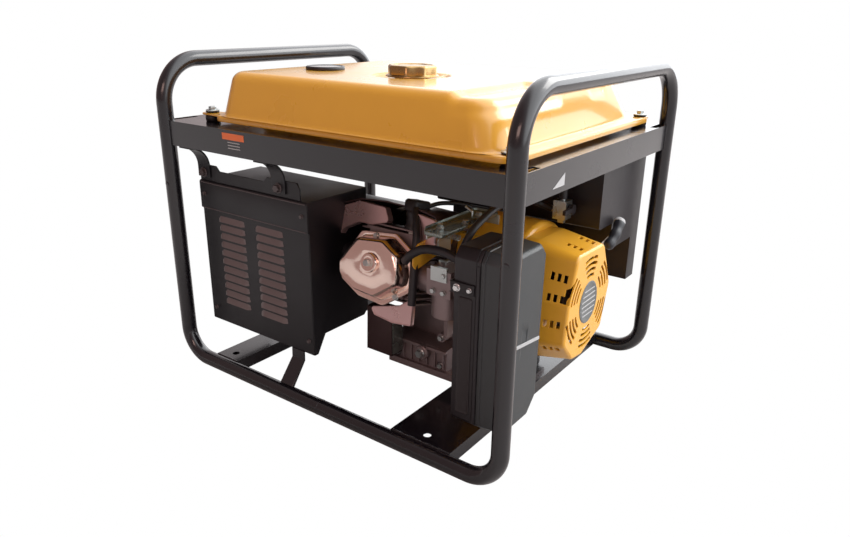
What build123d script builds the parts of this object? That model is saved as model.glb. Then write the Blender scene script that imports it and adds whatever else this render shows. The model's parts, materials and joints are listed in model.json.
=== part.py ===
from build123d import *
from math import cos, pi, radians, sin
import os

# Open-frame portable generator, millimetres.
# +X points to the alternator end, +Y to the side with the exhaust, +Z up.
# The origin is on the ground, at the middle of the tube frame.

# ---- driving dimensions ----
TUBE_R = 12.7
TUBE_WALL = 1.8
HALF_LENGTH = 330.0
HALF_WIDTH = 255.5
HANDLE_Z = 530.7
GROUND_Z = TUBE_R
TOP_BEND = 68.0
BOTTOM_BEND = 50.0

SHEET = 2.0
RAIL_LOW = 396.0
RAIL_TOP = 436.0
SIDE_RAIL_OUT = 259.0
SIDE_RAIL_IN = 199.0
END_RAIL_OUT = 334.0
END_RAIL_IN = 280.0
RAIL_LIP = 16.0

DECK_Z = 2 * TUBE_R
ENGINE_RAIL_X = (-246.0, -140.0)
ALTERNATOR_RAIL_X = (208.0, 262.0)
CROSS_RAIL_LOW = 4.0
CROSS_RAIL_END = 250.0
HOLD_DOWN_R = 6.25
HOLD_DOWN_Y = 230.0

STUD_R = 4.0
STUD_GAP = 0.4
ENGINE_MOUNT_X = -193.0
ENGINE_MOUNT_YS = (-80.0, 80.0)
ALTERNATOR_MOUNT_X = 235.0
ALTERNATOR_MOUNT_YS = (-75.0, 51.0)
MOUNTS = [(ENGINE_MOUNT_X, y) for y in ENGINE_MOUNT_YS]
MOUNTS += [(ALTERNATOR_MOUNT_X, y) for y in ALTERNATOR_MOUNT_YS]
FOOT_LOW = 47.0
FOOT_TOP = 58.0

TANK_SEAM = 450.0
TANK_TOP = 517.0
TANK_PAN_LOW = 405.0
TANK_SHEET = 1.5
# outlines as x range, y range and corner radius
TANK_FOOT = ((-292, 233), (-204, 234), 42)
TANK_CROWN = ((-258, 221), (-182, 214), 32)
TANK_LIP = ((-310, 241), (-235, 235), 26)
TANK_PAN = ((-268, 196), (-188, 188))
TANK_EARS = [(-297.0, 214.0), (-297.0, -214.0), (261.0, 214.0), (261.0, -214.0)]
CAP_X = -33.0
CAP_Y = 62.0
NECK_R = 27.0
NECK_TOP = 518.5
STRAINER_Z = 495.0
GAUGE_X = 135.0
GAUGE_Y = 78.0
GAUGE_R = 32.0
FUEL_COCK = (-248.0, -50.0)
COCK_Z = (303.0, 333.0)

CRANK_Y = -12.0
CRANK_Z = 197.0
JOURNAL_R = 15.0
RUNNING_GAP = 0.06
CYLINDER_TILT = 16.0
CYLINDER_X = -62.0
CASE_X = (-140.0, -25.0)
# the rocker cover's flange: (x, height over the cylinder's axis)
FLANGE = [(21, -14), (15, -40), (-27, -61), (-78, -65), (-125, -32)]
FLANGE += [(-127, -12), (-116, 26), (-80, 47), (-13, 40)]
DOME_CENTRE = (-60.0, -2.0)
HEAD_NEAR = 112.0
FLANGE_S = 190.0
DOME_TOP = 221.0
PLUG_X = -86.0
PLUG_S = 163.0
DIPSTICK_X = -82.0
DIPSTICK_Z = 96.0
FAN_R = 105.0
FAN_X = (-235.0, -142.0)
RECOIL_FACE_X = -325.0
RECOIL_BACK_X = -236.0
# the starter cover's face: (y, z), its centre and its slots
RECOIL_FACE = [(45, 279), (-48, 277), (-84, 204), (-64, 131), (5, 107), (38, 111), (72, 146), (66, 207)]
RECOIL_CENTRE = (-3.0, 194.0)
RECOIL_SECTORS = 6
RECOIL_SLOTS = [(44, 26), (53, 32), (62, 36), (71, 32)]
RECOIL_VENTS = [80, 41, 18, -13, -40, -66, -100, -128, -160, 165, 138, 108]
PULLEY_R = 45.0
GRIP = (-314.0, -112.0, 274.0)
EYELET = (-72.0, 252.0)

ALTERNATOR_R = 88.0
SHIELD_X = (42.0, 300.0)
SHIELD_Y = (88.0, 225.0)
SHIELD_Z = (77.0, 335.0)
LOUVRE_COLUMNS = [(102.0, 168.0), (194.0, 260.0)]
LOUVRE_LOW = 118.0
LOUVRE_STEP = 15.0
LOUVRE_ROWS = 11
HANGER_XS = (104.0, 286.0)
EXHAUST_X = -6.0
TAIL_PIPE = (156.0, 150.0)
STRAP = 3.0

CLEANER_Y = (118.0, 217.0)
CLEANER_Z = (58.0, 320.0)
CLEANER_X = (-311.0, -222.0)
CLEANER_SEAM_X = -265.0

PANEL_X = (-302.0, 12.0)
PANEL_Y = -252.0
PANEL_FACE = PANEL_Y - 3
PANEL_Z = (160.0, 390.0)
SOCKETS = [(-90.0, 225.0), (-20.0, 225.0)]
SWITCH_X = -240.0
BREAKER_X = -160.0
CONTROL_Z = 225.0

os.makedirs("parts", exist_ok=True)


# ---- helpers ----
def block(x, y, z):
    """A box between two corners, each axis given as (low, high)."""
    size = [high - low for low, high in (x, y, z)]
    middle = [(high + low) / 2 for low, high in (x, y, z)]
    return Pos(*middle) * Box(*size)


def rod_x(x, y, z, r):
    return Pos((x[0] + x[1]) / 2, y, z) * Rot(0, 90, 0) * Cylinder(r, x[1] - x[0])


def rod_y(x, y, z, r):
    return Pos(x, (y[0] + y[1]) / 2, z) * Rot(90, 0, 0) * Cylinder(r, y[1] - y[0])


def rod_z(x, y, z, r):
    return Pos(x, y, (z[0] + z[1]) / 2) * Cylinder(r, z[1] - z[0])


def hex_z(x, y, z, across):
    """A hexagonal prism standing along Z, measured across its flats."""
    outline = RegularPolygon(across / 2, 6, major_radius=False)
    return Pos(x, y, z[0]) * extrude(outline, z[1] - z[0])


def save(name, shape):
    export_step(shape, f"parts/{name}.step")


def tilt():
    """The engine's own frame: Y along the cylinder, Z square to it."""
    return Pos(0, CRANK_Y, CRANK_Z) * Rot(CYLINDER_TILT, 0, 0)


def tube_along(points, radii, r, wall=0.0):
    """A round tube or hose along straight runs joined by tangent arcs."""
    path = FilletPolyline(*points, radius=radii) if radii else Polyline(*points)
    start = Plane(origin=path @ 0, z_dir=path % 0)
    profile = Circle(r) - Circle(r - wall) if wall else Circle(r)
    return sweep(start * profile, path=path)


def bend_radii(name, points, factor=0.45):
    """The largest tangent arc that each corner's shorter run allows."""
    radii = []
    for before, here, after in zip(points, points[1:], points[2:]):
        run_in = Vector(*here) - Vector(*before)
        run_out = Vector(*after) - Vector(*here)
        turn = radians(run_in.get_angle(run_out))
        radii.append(factor * min(run_in.length, run_out.length) / (sin(turn / 2) / cos(turn / 2)))
    print(name, "bend radii", [round(r, 1) for r in radii])
    return radii


def world(x, s, v):
    """A point of the tilted engine frame, in the row frame."""
    a = radians(CYLINDER_TILT)
    return (x, CRANK_Y + s * cos(a) - v * sin(a), CRANK_Z + s * sin(a) + v * cos(a))


def on_back_plane(s):
    """A plane square to the cylinder at distance s from the crank axis, its Y pointing down."""
    a = radians(CYLINDER_TILT)
    return Plane(origin=world(0, s, 0), x_dir=(1, 0, 0), z_dir=(0, cos(a), sin(a)))


def head_plate(points, s, thickness, radius=0.0):
    """A plate square to the cylinder: points are (x, height), s is its near face."""
    outline = make_face(Polyline(*[(x, -v) for x, v in points], close=True))
    if radius:
        outline = fillet(outline.vertices(), radius)
    return on_back_plane(s) * extrude(outline, thickness)


# ---- frame ----
def frame_hoop(sign):
    low = sign * HALF_LENGTH
    points = [
        (0, -HALF_WIDTH, GROUND_Z),
        (low, -HALF_WIDTH, GROUND_Z),
        (low, -HALF_WIDTH, HANDLE_Z),
        (low, HALF_WIDTH, HANDLE_Z),
        (low, HALF_WIDTH, GROUND_Z),
        (0, HALF_WIDTH, GROUND_Z),
    ]
    return tube_along(points, [BOTTOM_BEND, TOP_BEND, TOP_BEND, BOTTOM_BEND], TUBE_R, TUBE_WALL)


def uprights():
    """Solid rods where the upright tubes stand, to cope the rails round them."""
    return [
        rod_z(x, y, (RAIL_LOW - 20, RAIL_TOP + 20), TUBE_R)
        for x in (-HALF_LENGTH, HALF_LENGTH)
        for y in (-HALF_WIDTH, HALF_WIDTH)
    ]


def side_rail(sign):
    reach = HALF_LENGTH - 10
    ys = [(SIDE_RAIL_IN, SIDE_RAIL_OUT), (SIDE_RAIL_OUT - SHEET, SIDE_RAIL_OUT)]
    ys.append((SIDE_RAIL_OUT - RAIL_LIP, SIDE_RAIL_OUT))
    zs = [(RAIL_TOP - SHEET, RAIL_TOP), (RAIL_LOW, RAIL_TOP), (RAIL_LOW, RAIL_LOW + SHEET)]
    rail = Part()
    for y, z in zip(ys, zs):
        low, high = sorted(sign * v for v in y)
        rail += block((-reach, reach), (low, high), z)
    for upright in uprights():
        rail -= upright
    return rail


def end_rail(sign):
    inside = SIDE_RAIL_IN
    flange = block((END_RAIL_IN, END_RAIL_OUT), (-inside, inside), (RAIL_TOP - SHEET, RAIL_TOP))
    web = block((END_RAIL_OUT - SHEET, END_RAIL_OUT), (-244, 244), (RAIL_LOW, RAIL_TOP))
    lip = block((END_RAIL_OUT - RAIL_LIP, END_RAIL_OUT), (-inside, inside), (RAIL_LOW, RAIL_LOW + SHEET))
    rail = flange + web + lip
    if sign < 0:
        rail = mirror(rail, Plane.YZ)
    for upright in uprights():
        rail -= upright
    return rail


def cross_rail(xs, mount_x, mount_ys, ribs):
    """A pressed channel across the frame, its top level with the bottom tubes."""
    low, high = xs
    y = (-CROSS_RAIL_END, CROSS_RAIL_END)
    rail = block(xs, y, (DECK_Z - SHEET, DECK_Z))
    rail += block((low, low + SHEET), y, (CROSS_RAIL_LOW, DECK_Z))
    rail += block((high - SHEET, high), y, (CROSS_RAIL_LOW, DECK_Z))
    for x in ribs:
        rail += block((x - 1, x + 1), (-180, 180), (DECK_Z - 8, DECK_Z - SHEET))
    for side in (-HALF_WIDTH, HALF_WIDTH):
        rail -= rod_x((low - 5, high + 5), side, GROUND_Z, TUBE_R)
    middle = (low + high) / 2
    for side in (-HOLD_DOWN_Y, HOLD_DOWN_Y):
        rail -= rod_z(middle, side, (0, 40), HOLD_DOWN_R)
    for y in mount_ys:
        rail -= rod_z(mount_x, y, (0, 40), STUD_R + STUD_GAP)
    return rail


def rubber_mounts():
    """Four rubber blocks, waisted, that carry the engine and the alternator."""
    solids = []
    for x, y in MOUNTS:
        rubber = rod_z(x, y, (DECK_Z, FOOT_LOW), 19)
        waist = rod_z(x, y, (DECK_Z + 6, FOOT_LOW - 6), 22) - rod_z(x, y, (DECK_Z + 6, FOOT_LOW - 6), 16)
        solids.append(rubber - waist - rod_z(x, y, (0, 60), STUD_R + STUD_GAP))
    return Compound(children=solids)


def mount_bolts():
    solids = []
    for x, y in MOUNTS:
        bolt = rod_z(x, y, (13, FOOT_TOP + 11), STUD_R)
        bolt += hex_z(x, y, (FOOT_TOP, FOOT_TOP + 7), 13)
        bolt += hex_z(x, y, (DECK_Z - SHEET - 7, DECK_Z - SHEET), 13)
        solids.append(bolt)
    return Compound(children=solids)


# ---- fuel tank ----
def tank_outline(sides, inset, z):
    x, y, r = sides
    outline = RectangleRounded(x[1] - x[0] - 2 * inset, y[1] - y[0] - 2 * inset, r - inset)
    return Pos((x[0] + x[1]) / 2, (y[0] + y[1]) / 2, z) * outline


def tank_form(inset):
    """The pressed top shell as a solid, grown inwards by inset."""
    foot = tank_outline(TANK_FOOT, inset, TANK_SEAM)
    form = loft([foot, tank_outline(TANK_CROWN, inset, TANK_TOP - inset)])
    return fillet(form.faces().sort_by(Axis.Z)[-1].edges(), 13 - inset)


def fuel_tank():
    pan_x, pan_y = TANK_PAN
    ledge = extrude(tank_outline(TANK_LIP, 0, TANK_SEAM - 2), 2)
    lip_low = TANK_SEAM - 9
    lip = extrude(tank_outline(TANK_LIP, 0, lip_low), 8) - extrude(tank_outline(TANK_LIP, 1.5, lip_low), 8)
    shell = tank_form(0) + ledge + lip
    for x, y in TANK_EARS:
        shell += rod_z(x, y, (TANK_SEAM - 3, TANK_SEAM), 14)
        shell += block(sorted((x, x * 0.7)), sorted((y - 10, y + 10)), (TANK_SEAM - 3, TANK_SEAM))
    shell += block(pan_x, pan_y, (TANK_PAN_LOW, TANK_SEAM))
    shell += rod_z(FUEL_COCK[0], FUEL_COCK[1], (TANK_PAN_LOW - 14, TANK_PAN_LOW), 4)
    shell -= tank_form(TANK_SHEET)
    t = TANK_SHEET
    pan_z = (TANK_PAN_LOW + t, TANK_SEAM + t)
    shell -= block((pan_x[0] + t, pan_x[1] - t), (pan_y[0] + t, pan_y[1] - t), pan_z)
    shell -= rod_z(CAP_X, CAP_Y, (TANK_TOP - 12, TANK_TOP + 1), NECK_R + 0.1)
    for x, y in TANK_EARS:
        shell -= rod_z(x, y, (TANK_SEAM - 9, TANK_SEAM + 1), 5)
    return shell


def filler_neck():
    """The rolled neck, with a flange on the tank and a ledge for the strainer."""
    neck = rod_z(CAP_X, CAP_Y, (STRAINER_Z - 1.5, NECK_TOP), NECK_R)
    neck += rod_z(CAP_X, CAP_Y, (TANK_TOP, TANK_TOP + 1), NECK_R + 4)
    neck -= rod_z(CAP_X, CAP_Y, (STRAINER_Z, NECK_TOP + 1), NECK_R - 2)
    return neck - rod_z(CAP_X, CAP_Y, (STRAINER_Z - 3, STRAINER_Z + 1), NECK_R - 5)


def tank_grommets():
    solids = []
    for x, y in TANK_EARS:
        rubber = rod_z(x, y, (RAIL_TOP, TANK_SEAM - 3), 10)
        rubber += rod_z(x, y, (TANK_SEAM, TANK_SEAM + 3), 10.5)
        rubber += rod_z(x, y, (TANK_SEAM - 3, TANK_SEAM), 5)
        solids.append(rubber - rod_z(x, y, (RAIL_TOP - 1, TANK_SEAM + 4), 3))
    return Compound(children=solids)


def tank_bolts():
    solids = []
    for x, y in TANK_EARS:
        bolt = rod_z(x, y, (RAIL_TOP, TANK_SEAM + 4.5), 3)
        bolt += rod_z(x, y, (TANK_SEAM + 3, TANK_SEAM + 4.5), 11)
        bolt += hex_z(x, y, (TANK_SEAM + 4.5, TANK_SEAM + 9.5), 10)
        solids.append(bolt)
    return Compound(children=solids)


def fuel_strainer():
    top = STRAINER_Z + 2
    basket = rod_z(CAP_X, CAP_Y, (438, top), 21) - rod_z(CAP_X, CAP_Y, (439, top + 1), 20)
    rim = rod_z(CAP_X, CAP_Y, (STRAINER_Z, top), NECK_R - 2.1)
    rim -= rod_z(CAP_X, CAP_Y, (STRAINER_Z - 1, top + 1), 20)
    return basket + rim


def fuel_gauge():
    body = rod_z(GAUGE_X, GAUGE_Y, (TANK_TOP, TANK_TOP + 6), GAUGE_R)
    body = chamfer(body.edges().group_by(Axis.Z)[-1], 1.5)
    return body - rod_z(GAUGE_X, GAUGE_Y, (TANK_TOP + 2, TANK_TOP + 7), GAUGE_R - 6)


def gauge_needle():
    z = (TANK_TOP + 3, TANK_TOP + 4.5)
    needle = rod_z(GAUGE_X, GAUGE_Y, z, 4)
    return needle + block((GAUGE_X, GAUGE_X + 21), (GAUGE_Y - 1.2, GAUGE_Y + 1.2), z)


def fuel_cap_insert():
    """The bayonet plug that hangs in the neck, with its seal flange."""
    plug = rod_z(CAP_X, CAP_Y, (504, NECK_TOP + 0.5), 21) - rod_z(CAP_X, CAP_Y, (503, NECK_TOP - 1), 19.5)
    return plug + rod_z(CAP_X, CAP_Y, (NECK_TOP + 0.5, NECK_TOP + 2), NECK_R)


def fuel_cap():
    """A pressed cap with lobes round its rim for the fingers."""
    low, high = NECK_TOP + 2.3, NECK_TOP + 11.5
    body = rod_z(CAP_X, CAP_Y, (low, high), 38.5)
    lobes = 8
    for i in range(lobes):
        angle = 2 * pi * i / lobes
        x = CAP_X + 41 * cos(angle)
        y = CAP_Y + 41 * sin(angle)
        body -= rod_z(x, y, (low + 2, high + 1), 6)
    return body + rod_z(CAP_X, CAP_Y, (low, low + 2), 41)


def fuel_cock():
    x, y = FUEL_COCK
    body = block((x - 11, x + 11), (y - 11, y + 11), COCK_Z)
    body += rod_z(x, y, (COCK_Z[1], COCK_Z[1] + 14), 4)
    body += rod_x((x + 11, x + 16), y, 315, 4)
    body += block((x - 5, x + 5), (y - 4, y + 4), (COCK_Z[0] - 7, COCK_Z[0]))
    return body


def fuel_cock_lever():
    x, y = FUEL_COCK
    lever = rod_x((x - 20, x - 11.5), y, 320, 8)
    return lever + block((x - 20, x - 15), (y, y + 30), (316.5, 323.5))


def fuel_hose():
    """Two rubber hoses: tank to cock, and cock to carburettor."""
    x, y = FUEL_COCK
    drop = rod_z(x, y, (COCK_Z[1] + 2, TANK_PAN_LOW - 2), 6.5) - rod_z(x, y, (300, TANK_PAN_LOW), 4)
    points = [
        (x + 17.5, y, 315),
        (x + 37, y + 5, 322),
        (x + 46, y + 40, 337),
        (x + 47, y + 90, 344),
        (x + 46, y + 145, 336),
        (x + 50, y + 185, 318),
        (x + 54, y + 199, 296),
    ]
    return Compound(children=[drop, tube_along(points, bend_radii("fuel_hose", points), 5.5, 1.4)])


# ---- engine ----
def scaled(points, factor):
    cx, cy = DOME_CENTRE
    return [(cx + (x - cx) * factor, cy + (v - cy) * factor) for x, v in points]


def crankcase():
    """The crankcase and cylinder barrel, one aluminium casting with feet."""
    low, high = CASE_X
    body = block(CASE_X, (-92, 66), (FOOT_TOP, 268))
    body = fillet(body.edges().filter_by(Axis.X), 26)
    body += block((-215, -25), (-100, 112), (FOOT_LOW, FOOT_TOP))
    body += block((low, high), (60, 106), (FOOT_TOP, 96))
    barrel = Pos((low + high) / 2, 85, 0) * Box(high - low - 6, HEAD_NEAR * 2 - 170, 104)
    body += tilt() * barrel
    for v in range(-48, 49, 12):
        body += tilt() * (Pos((low + high) / 2, 88, v) * Box(high - low - 2, 46, 3))
    body += rod_y(-96, (100, 116), 84, 9)
    body += rod_x((FAN_X[1], low), CRANK_Y, CRANK_Z, 40)
    body -= rod_x((low + 9, high - 9), CRANK_Y, CRANK_Z, 60)
    body -= block((low + 9, high - 9), (-82, 56), (FOOT_TOP + 8, 150))
    body -= rod_x((low - 20, high + 5), CRANK_Y, CRANK_Z, JOURNAL_R + RUNNING_GAP)
    body -= rod_x((high - 10, high + 5), CRANK_Y, CRANK_Z, 60)
    body -= tilt() * (Pos(CYLINDER_X, 80, 0) * Rot(90, 0, 0) * Cylinder(44, 80))
    body -= rod_y(DIPSTICK_X, (-120, -30), DIPSTICK_Z, 7)
    for y in ENGINE_MOUNT_YS:
        body -= rod_z(ENGINE_MOUNT_X, y, (40, 70), STUD_R + STUD_GAP)
    return body


def crankcase_cover():
    """The side cover on the alternator side, with its bearing and a bell."""
    cover = block((-25, -15), (-88, 62), (66, 262))
    cover = fillet(cover.edges().filter_by(Axis.X), 24)
    cover += rod_x((-15, -6), CRANK_Y, CRANK_Z, 62)
    cover -= rod_x((-30, 0), CRANK_Y, CRANK_Z, JOURNAL_R + RUNNING_GAP)
    for i in range(6):
        angle = radians(60 * i + 30)
        cover += rod_x((-15, -10), CRANK_Y + 68.6 * cos(angle), CRANK_Z + 56 * sin(angle), 6)
    return cover


def cylinder_head():
    middle = (HEAD_NEAR + FLANGE_S) / 2 - 4
    head = tilt() * (Pos(CYLINDER_X, middle, 0) * Box(84, FLANGE_S - HEAD_NEAR - 8, 99))
    for v in range(-48, 49, 12):
        head += tilt() * (Pos(CYLINDER_X, HEAD_NEAR + 34, v) * Box(106, 62, 2.8))
    head += head_plate(scaled(FLANGE, 0.86), FLANGE_S - 12, 11.7, 8)
    head += tilt() * (Pos(-18, 150, -4) * Rot(0, 90, 0) * Cylinder(23, 22))
    head += tilt() * (Pos(-116, 152, -6) * Rot(0, 90, 0) * Cylinder(20, 16))
    return head - plug_well()


def plug_well():
    """The round space in the head that the spark plug stands in."""
    return tilt() * Pos(PLUG_X, PLUG_S, 45) * Cylinder(12, 50)


def spark_plug():
    plug = Pos(PLUG_X, PLUG_S, 29) * Cylinder(6, 18)
    plug += Pos(PLUG_X, PLUG_S, 38) * extrude(RegularPolygon(9.5, 6), 10)
    plug += Pos(PLUG_X, PLUG_S, 58) * Cylinder(5, 22)
    return tilt() * plug


def spark_plug_cap():
    cap = Pos(PLUG_X, PLUG_S, 78) * Cylinder(11, 44)
    cap += Pos(PLUG_X, PLUG_S - 8, 92) * Box(20, 34, 17)
    cap = cap - Pos(PLUG_X, PLUG_S, 62) * Cylinder(5.2, 18)
    return tilt() * cap


def ignition_lead():
    """The plug lead, from the plug cap back over the engine to the fan housing."""
    start = world(PLUG_X, PLUG_S - 25, 92)
    points = [
        start,
        (PLUG_X - 6, start[1] - 32, start[2] + 2),
        (PLUG_X - 30, start[1] - 62, start[2] - 2),
        (PLUG_X - 45, start[1] - 88, start[2] - 18),
        (FAN_X[1] - 6, start[1] - 100, 307),
    ]
    return tube_along(points, bend_radii("ignition_lead", points), 3.5)


def rocker_cover():
    flange = head_plate(FLANGE, FLANGE_S, 3, 12)
    base = make_face(Polyline(*[(x, -v) for x, v in scaled(FLANGE, 0.86)], close=True))
    dome = extrude(fillet(base.vertices(), 14), DOME_TOP - FLANGE_S - 3, taper=17)
    dome = on_back_plane(FLANGE_S + 3) * fillet(dome.faces().sort_by(Axis.Z)[-1].edges(), 6)
    inner = make_face(Polyline(*[(x, -v) for x, v in scaled(FLANGE, 0.82)], close=True))
    inner = extrude(fillet(inner.vertices(), 12), DOME_TOP - FLANGE_S - 4, taper=17)
    cover = flange + dome - on_back_plane(FLANGE_S) * inner
    x, v = DOME_CENTRE
    return cover - on_back_plane(FLANGE_S) * Pos(x, -v, 20) * Cylinder(4.2, 60)


def rocker_cover_bolt():
    x, v = DOME_CENTRE
    boss = Pos(x, -v, DOME_TOP - FLANGE_S + 2) * Cylinder(15, 4)
    boss = fillet(boss.edges().group_by(Axis.Z)[-1], 1.8)
    shank = Pos(x, -v, (DOME_TOP - FLANGE_S) / 2 + 1.2) * Cylinder(4, DOME_TOP - FLANGE_S - 1.8)
    head = Pos(x, -v, DOME_TOP - FLANGE_S + 4) * extrude(RegularPolygon(6, 6), 5)
    return on_back_plane(FLANGE_S) * (boss + shank + head)


def cylinder_shroud():
    """Bright sheet panels round the cylinder that keep the fan's air on its fins."""
    s, t = FLANGE_S - 4, 1.5
    left = [(36, -6), (38, 40), (6, 72), (-66, 76), (-66, 40), (-40, 50), (-16, 46), (16, 14)]
    right = [(-106, 76), (-136, 72), (-136, 36), (-112, 32)]
    lower = [(-76, -69), (-122, -40), (-134, -78), (-60, -84)]
    shroud = []
    for outline in (left, right, lower):
        panel = head_plate(outline, s, t)
        low = min(x for x, v in outline)
        high = max(x for x, v in outline)
        if outline is not lower:
            span = (low + 2, min(high, 4) - 2)
            edge = tilt() * block(span, (HEAD_NEAR + 2, s + 0.5), (70, 71.5))
            panel = panel + edge
        shroud.append(panel - plug_well())
    return Compound(children=shroud)


def lower_duct():
    """A sheet-metal duct under the barrel that lets the cooling air out."""
    duct = block((-54, -2), (112.5, 141), (74, 176))
    duct -= block((-52.5, -3.5), (114, 139.5), (70, 180))
    return duct - tilt() * block((-130, 10), (100, 200), (-60, 60)) - block((-60, 10), (100, 150), (152, 200))


def fan_outline(inset):
    body = Circle(FAN_R - inset)
    duct = Rot(0, 0, CYLINDER_TILT) * (Pos(58, 0) * Rectangle(116 - 2 * inset, 128 - 2 * inset))
    return body + duct


def fan_housing():
    """The pressed fan housing round the flywheel, drawn towards the cylinder."""
    across = Plane(origin=(FAN_X[0], CRANK_Y, CRANK_Z), x_dir=(0, 1, 0), z_dir=(1, 0, 0))
    shell = across * extrude(fan_outline(0), FAN_X[1] - FAN_X[0])
    shell = fillet(shell.faces().sort_by(Axis.X)[0].edges(), 8)
    hollow = Plane(origin=(FAN_X[0] + 2.5, CRANK_Y, CRANK_Z), x_dir=(0, 1, 0), z_dir=(1, 0, 0))
    shell -= hollow * extrude(fan_outline(2.5), FAN_X[1] - FAN_X[0])
    shell -= rod_x((FAN_X[0] - 5, FAN_X[0] + 10), CRANK_Y, CRANK_Z, 76)
    return shell


def recoil_outline(x, scale, corner):
    """The cover's rounded outline at one place along X, scaled about its centre."""
    cy, cz = RECOIL_CENTRE
    points = [(x, cy + (y - cy) * scale, cz + (z - cz) * scale) for y, z in RECOIL_FACE]
    outline = make_face(Polyline(*points, close=True))
    return fillet(outline.vertices(), corner)


def recoil_form(inset):
    """The cover's form: a straight skirt, then walls that draw in to the face."""
    skirt_x = RECOIL_BACK_X - 20
    shrink = inset / 90
    rear = recoil_outline(RECOIL_BACK_X - inset * 0.1, 1.14 - shrink, 24)
    skirt = recoil_outline(skirt_x, 1.14 - shrink, 24)
    face = recoil_outline(RECOIL_FACE_X + inset, 1.0 - shrink, 14)
    return loft([rear, skirt], ruled=True) + loft([skirt, face], ruled=True)


def recoil_cover():
    """The vented recoil starter cover, with six groups of curved slots in its face."""
    shell = recoil_form(0)
    shell = fillet(shell.faces().sort_by(Axis.X)[0].edges(), 5)
    shell -= recoil_form(2.5)
    shell -= block((RECOIL_BACK_X - 2, RECOIL_BACK_X + 2), (-86, 80), (112, 276))
    cy, cz = RECOIL_CENTRE
    across = Plane(origin=(RECOIL_FACE_X - 2, cy, cz), x_dir=(0, 1, 0), z_dir=(1, 0, 0))
    cuts = []
    for i in range(RECOIL_SECTORS):
        middle = 90 + 360 / RECOIL_SECTORS * i
        for r, span in RECOIL_SLOTS:
            arc = CenterArc((0, 0), r, middle - span / 2, span)
            cuts.append(across * extrude(SlotArc(arc, 5), 12))
    for angle in RECOIL_VENTS:
        turn = Pos(0, cy, cz) * Rot(angle, 0, 0)
        for j in range(3):
            cuts.append(turn * Pos(RECOIL_FACE_X + 13 + 10 * j, 90, 0) * Box(6, 60, 11))
    for cut in cuts:
        shell -= cut
    shell += rod_x((RECOIL_FACE_X + 2.4, RECOIL_FACE_X + 22), CRANK_Y, CRANK_Z, 7)
    shell += rod_x((-300, -276), EYELET[0], EYELET[1], 9)
    return shell - rod_x((-301, -288), EYELET[0], EYELET[1], 4)


def recoil_pulley():
    """The rope drum inside the starter cover."""
    drum = rod_x((-303, -283), CRANK_Y, CRANK_Z, PULLEY_R + 10)
    groove = rod_x((-299, -287), CRANK_Y, CRANK_Z, PULLEY_R + 20)
    groove -= rod_x((-299, -287), CRANK_Y, CRANK_Z, PULLEY_R)
    hub = rod_x((-283, -262), CRANK_Y, CRANK_Z, 22)
    return drum - groove + hub - rod_x((-330, -250), CRANK_Y, CRANK_Z, 7.3)


def recoil_rope():
    """The short stretch that shows between the eyelet and the grip."""
    points = [(-303.5, EYELET[0] - 4, EYELET[1] + 3), (GRIP[0] + 6, GRIP[1] + 6, GRIP[2] - 5)]
    return tube_along(points, [], 2.5)


def recoil_handle():
    """The T-grip: a rounded bar across the rope's line."""
    bar = Cylinder(9.5, 62)
    bar = fillet(bar.edges(), 5)
    bar = Pos(*GRIP) * Rot(53, 0, 0) * bar
    return bar


def carburetor():
    body = rod_x((-222, -126), 152, 234, 20)
    body += block((-192, -150), (128, 178), (222, 262))
    body += rod_z(-171, 153, (186, 222), 24)
    body += rod_z(-194, 149, (250, 286), 4)
    body -= rod_x((-223, -125), 152, 234, 13)
    return body


def choke_lever():
    lever = rod_y(-207, (172.4, 182), 234, 6)
    return lever + block((-210, -204), (179.5, 182), (234, 268))


def throttle_arm():
    arm = rod_z(-160, 153, (262.4, 268), 6)
    return arm + block((-163, -157), (118, 153), (263, 265.5))


def governor_bracket():
    """The zinc-plated control plate over the carburettor."""
    plate = block((-190, -145), (44, 200), (318, 320))
    plate += block((-147, -145), (44, 200), (306, 320))
    plate += block((-190, -145), (44, 46), (303, 320))
    return plate


def cleaner_form(x, inset, top):
    """The air cleaner's outline seen along X, drawn out between two places."""
    low_y, high_y = CLEANER_Y[0] + inset, CLEANER_Y[1] - inset
    low_z, high_z = CLEANER_Z[0] + inset, CLEANER_Z[1] - inset
    points = [
        (low_y, low_z + 22),
        (low_y + 22, low_z),
        (high_y - 6, low_z),
        (high_y, low_z + 6),
        (high_y, high_z - top),
        (high_y - top * 0.8, high_z),
        (low_y + 10, high_z),
        (low_y, high_z - 10),
    ]
    across = Plane(origin=(x[0], 0, 0), x_dir=(0, 1, 0), z_dir=(1, 0, 0))
    outline = make_face(Polyline(*points, close=True))
    return across * extrude(fillet(outline.vertices(), 4), x[1] - x[0])


def air_cleaner_base():
    base = cleaner_form((CLEANER_SEAM_X, CLEANER_X[1]), 0, 14)
    base -= cleaner_form((CLEANER_SEAM_X - 1, CLEANER_X[1] - 3), 3, 14)
    base -= block((CLEANER_SEAM_X + 9, CLEANER_X[1] - 8), (CLEANER_Y[1] - 1.5, CLEANER_Y[1] + 2), (72, 250))
    return base - rod_x((-240, -200), 152, 234, 13)


def air_cleaner_cover():
    cover = cleaner_form((CLEANER_X[0], CLEANER_SEAM_X), 0, 14)
    cover = fillet(cover.faces().sort_by(Axis.X)[0].edges(), 3)
    return cover - cleaner_form((CLEANER_X[0] + 3, CLEANER_SEAM_X + 1), 3, 14)


def air_filter():
    """The foam element, held in the base and reaching into the cover."""
    return block((-296, -262), (126, 208), (90, 296))


def breather_hose():
    points = [
        world(-112, FLANGE_S + 14, 12),
        (-125, 186, 278),
        (-146, 184, 292),
        (-178, 181, 294),
        (-204, 178, 286),
        (CLEANER_X[1] + 3.4, 176, 276.5),
    ]
    return tube_along(points, bend_radii("breather_hose", points), 6.5, 2)


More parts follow.
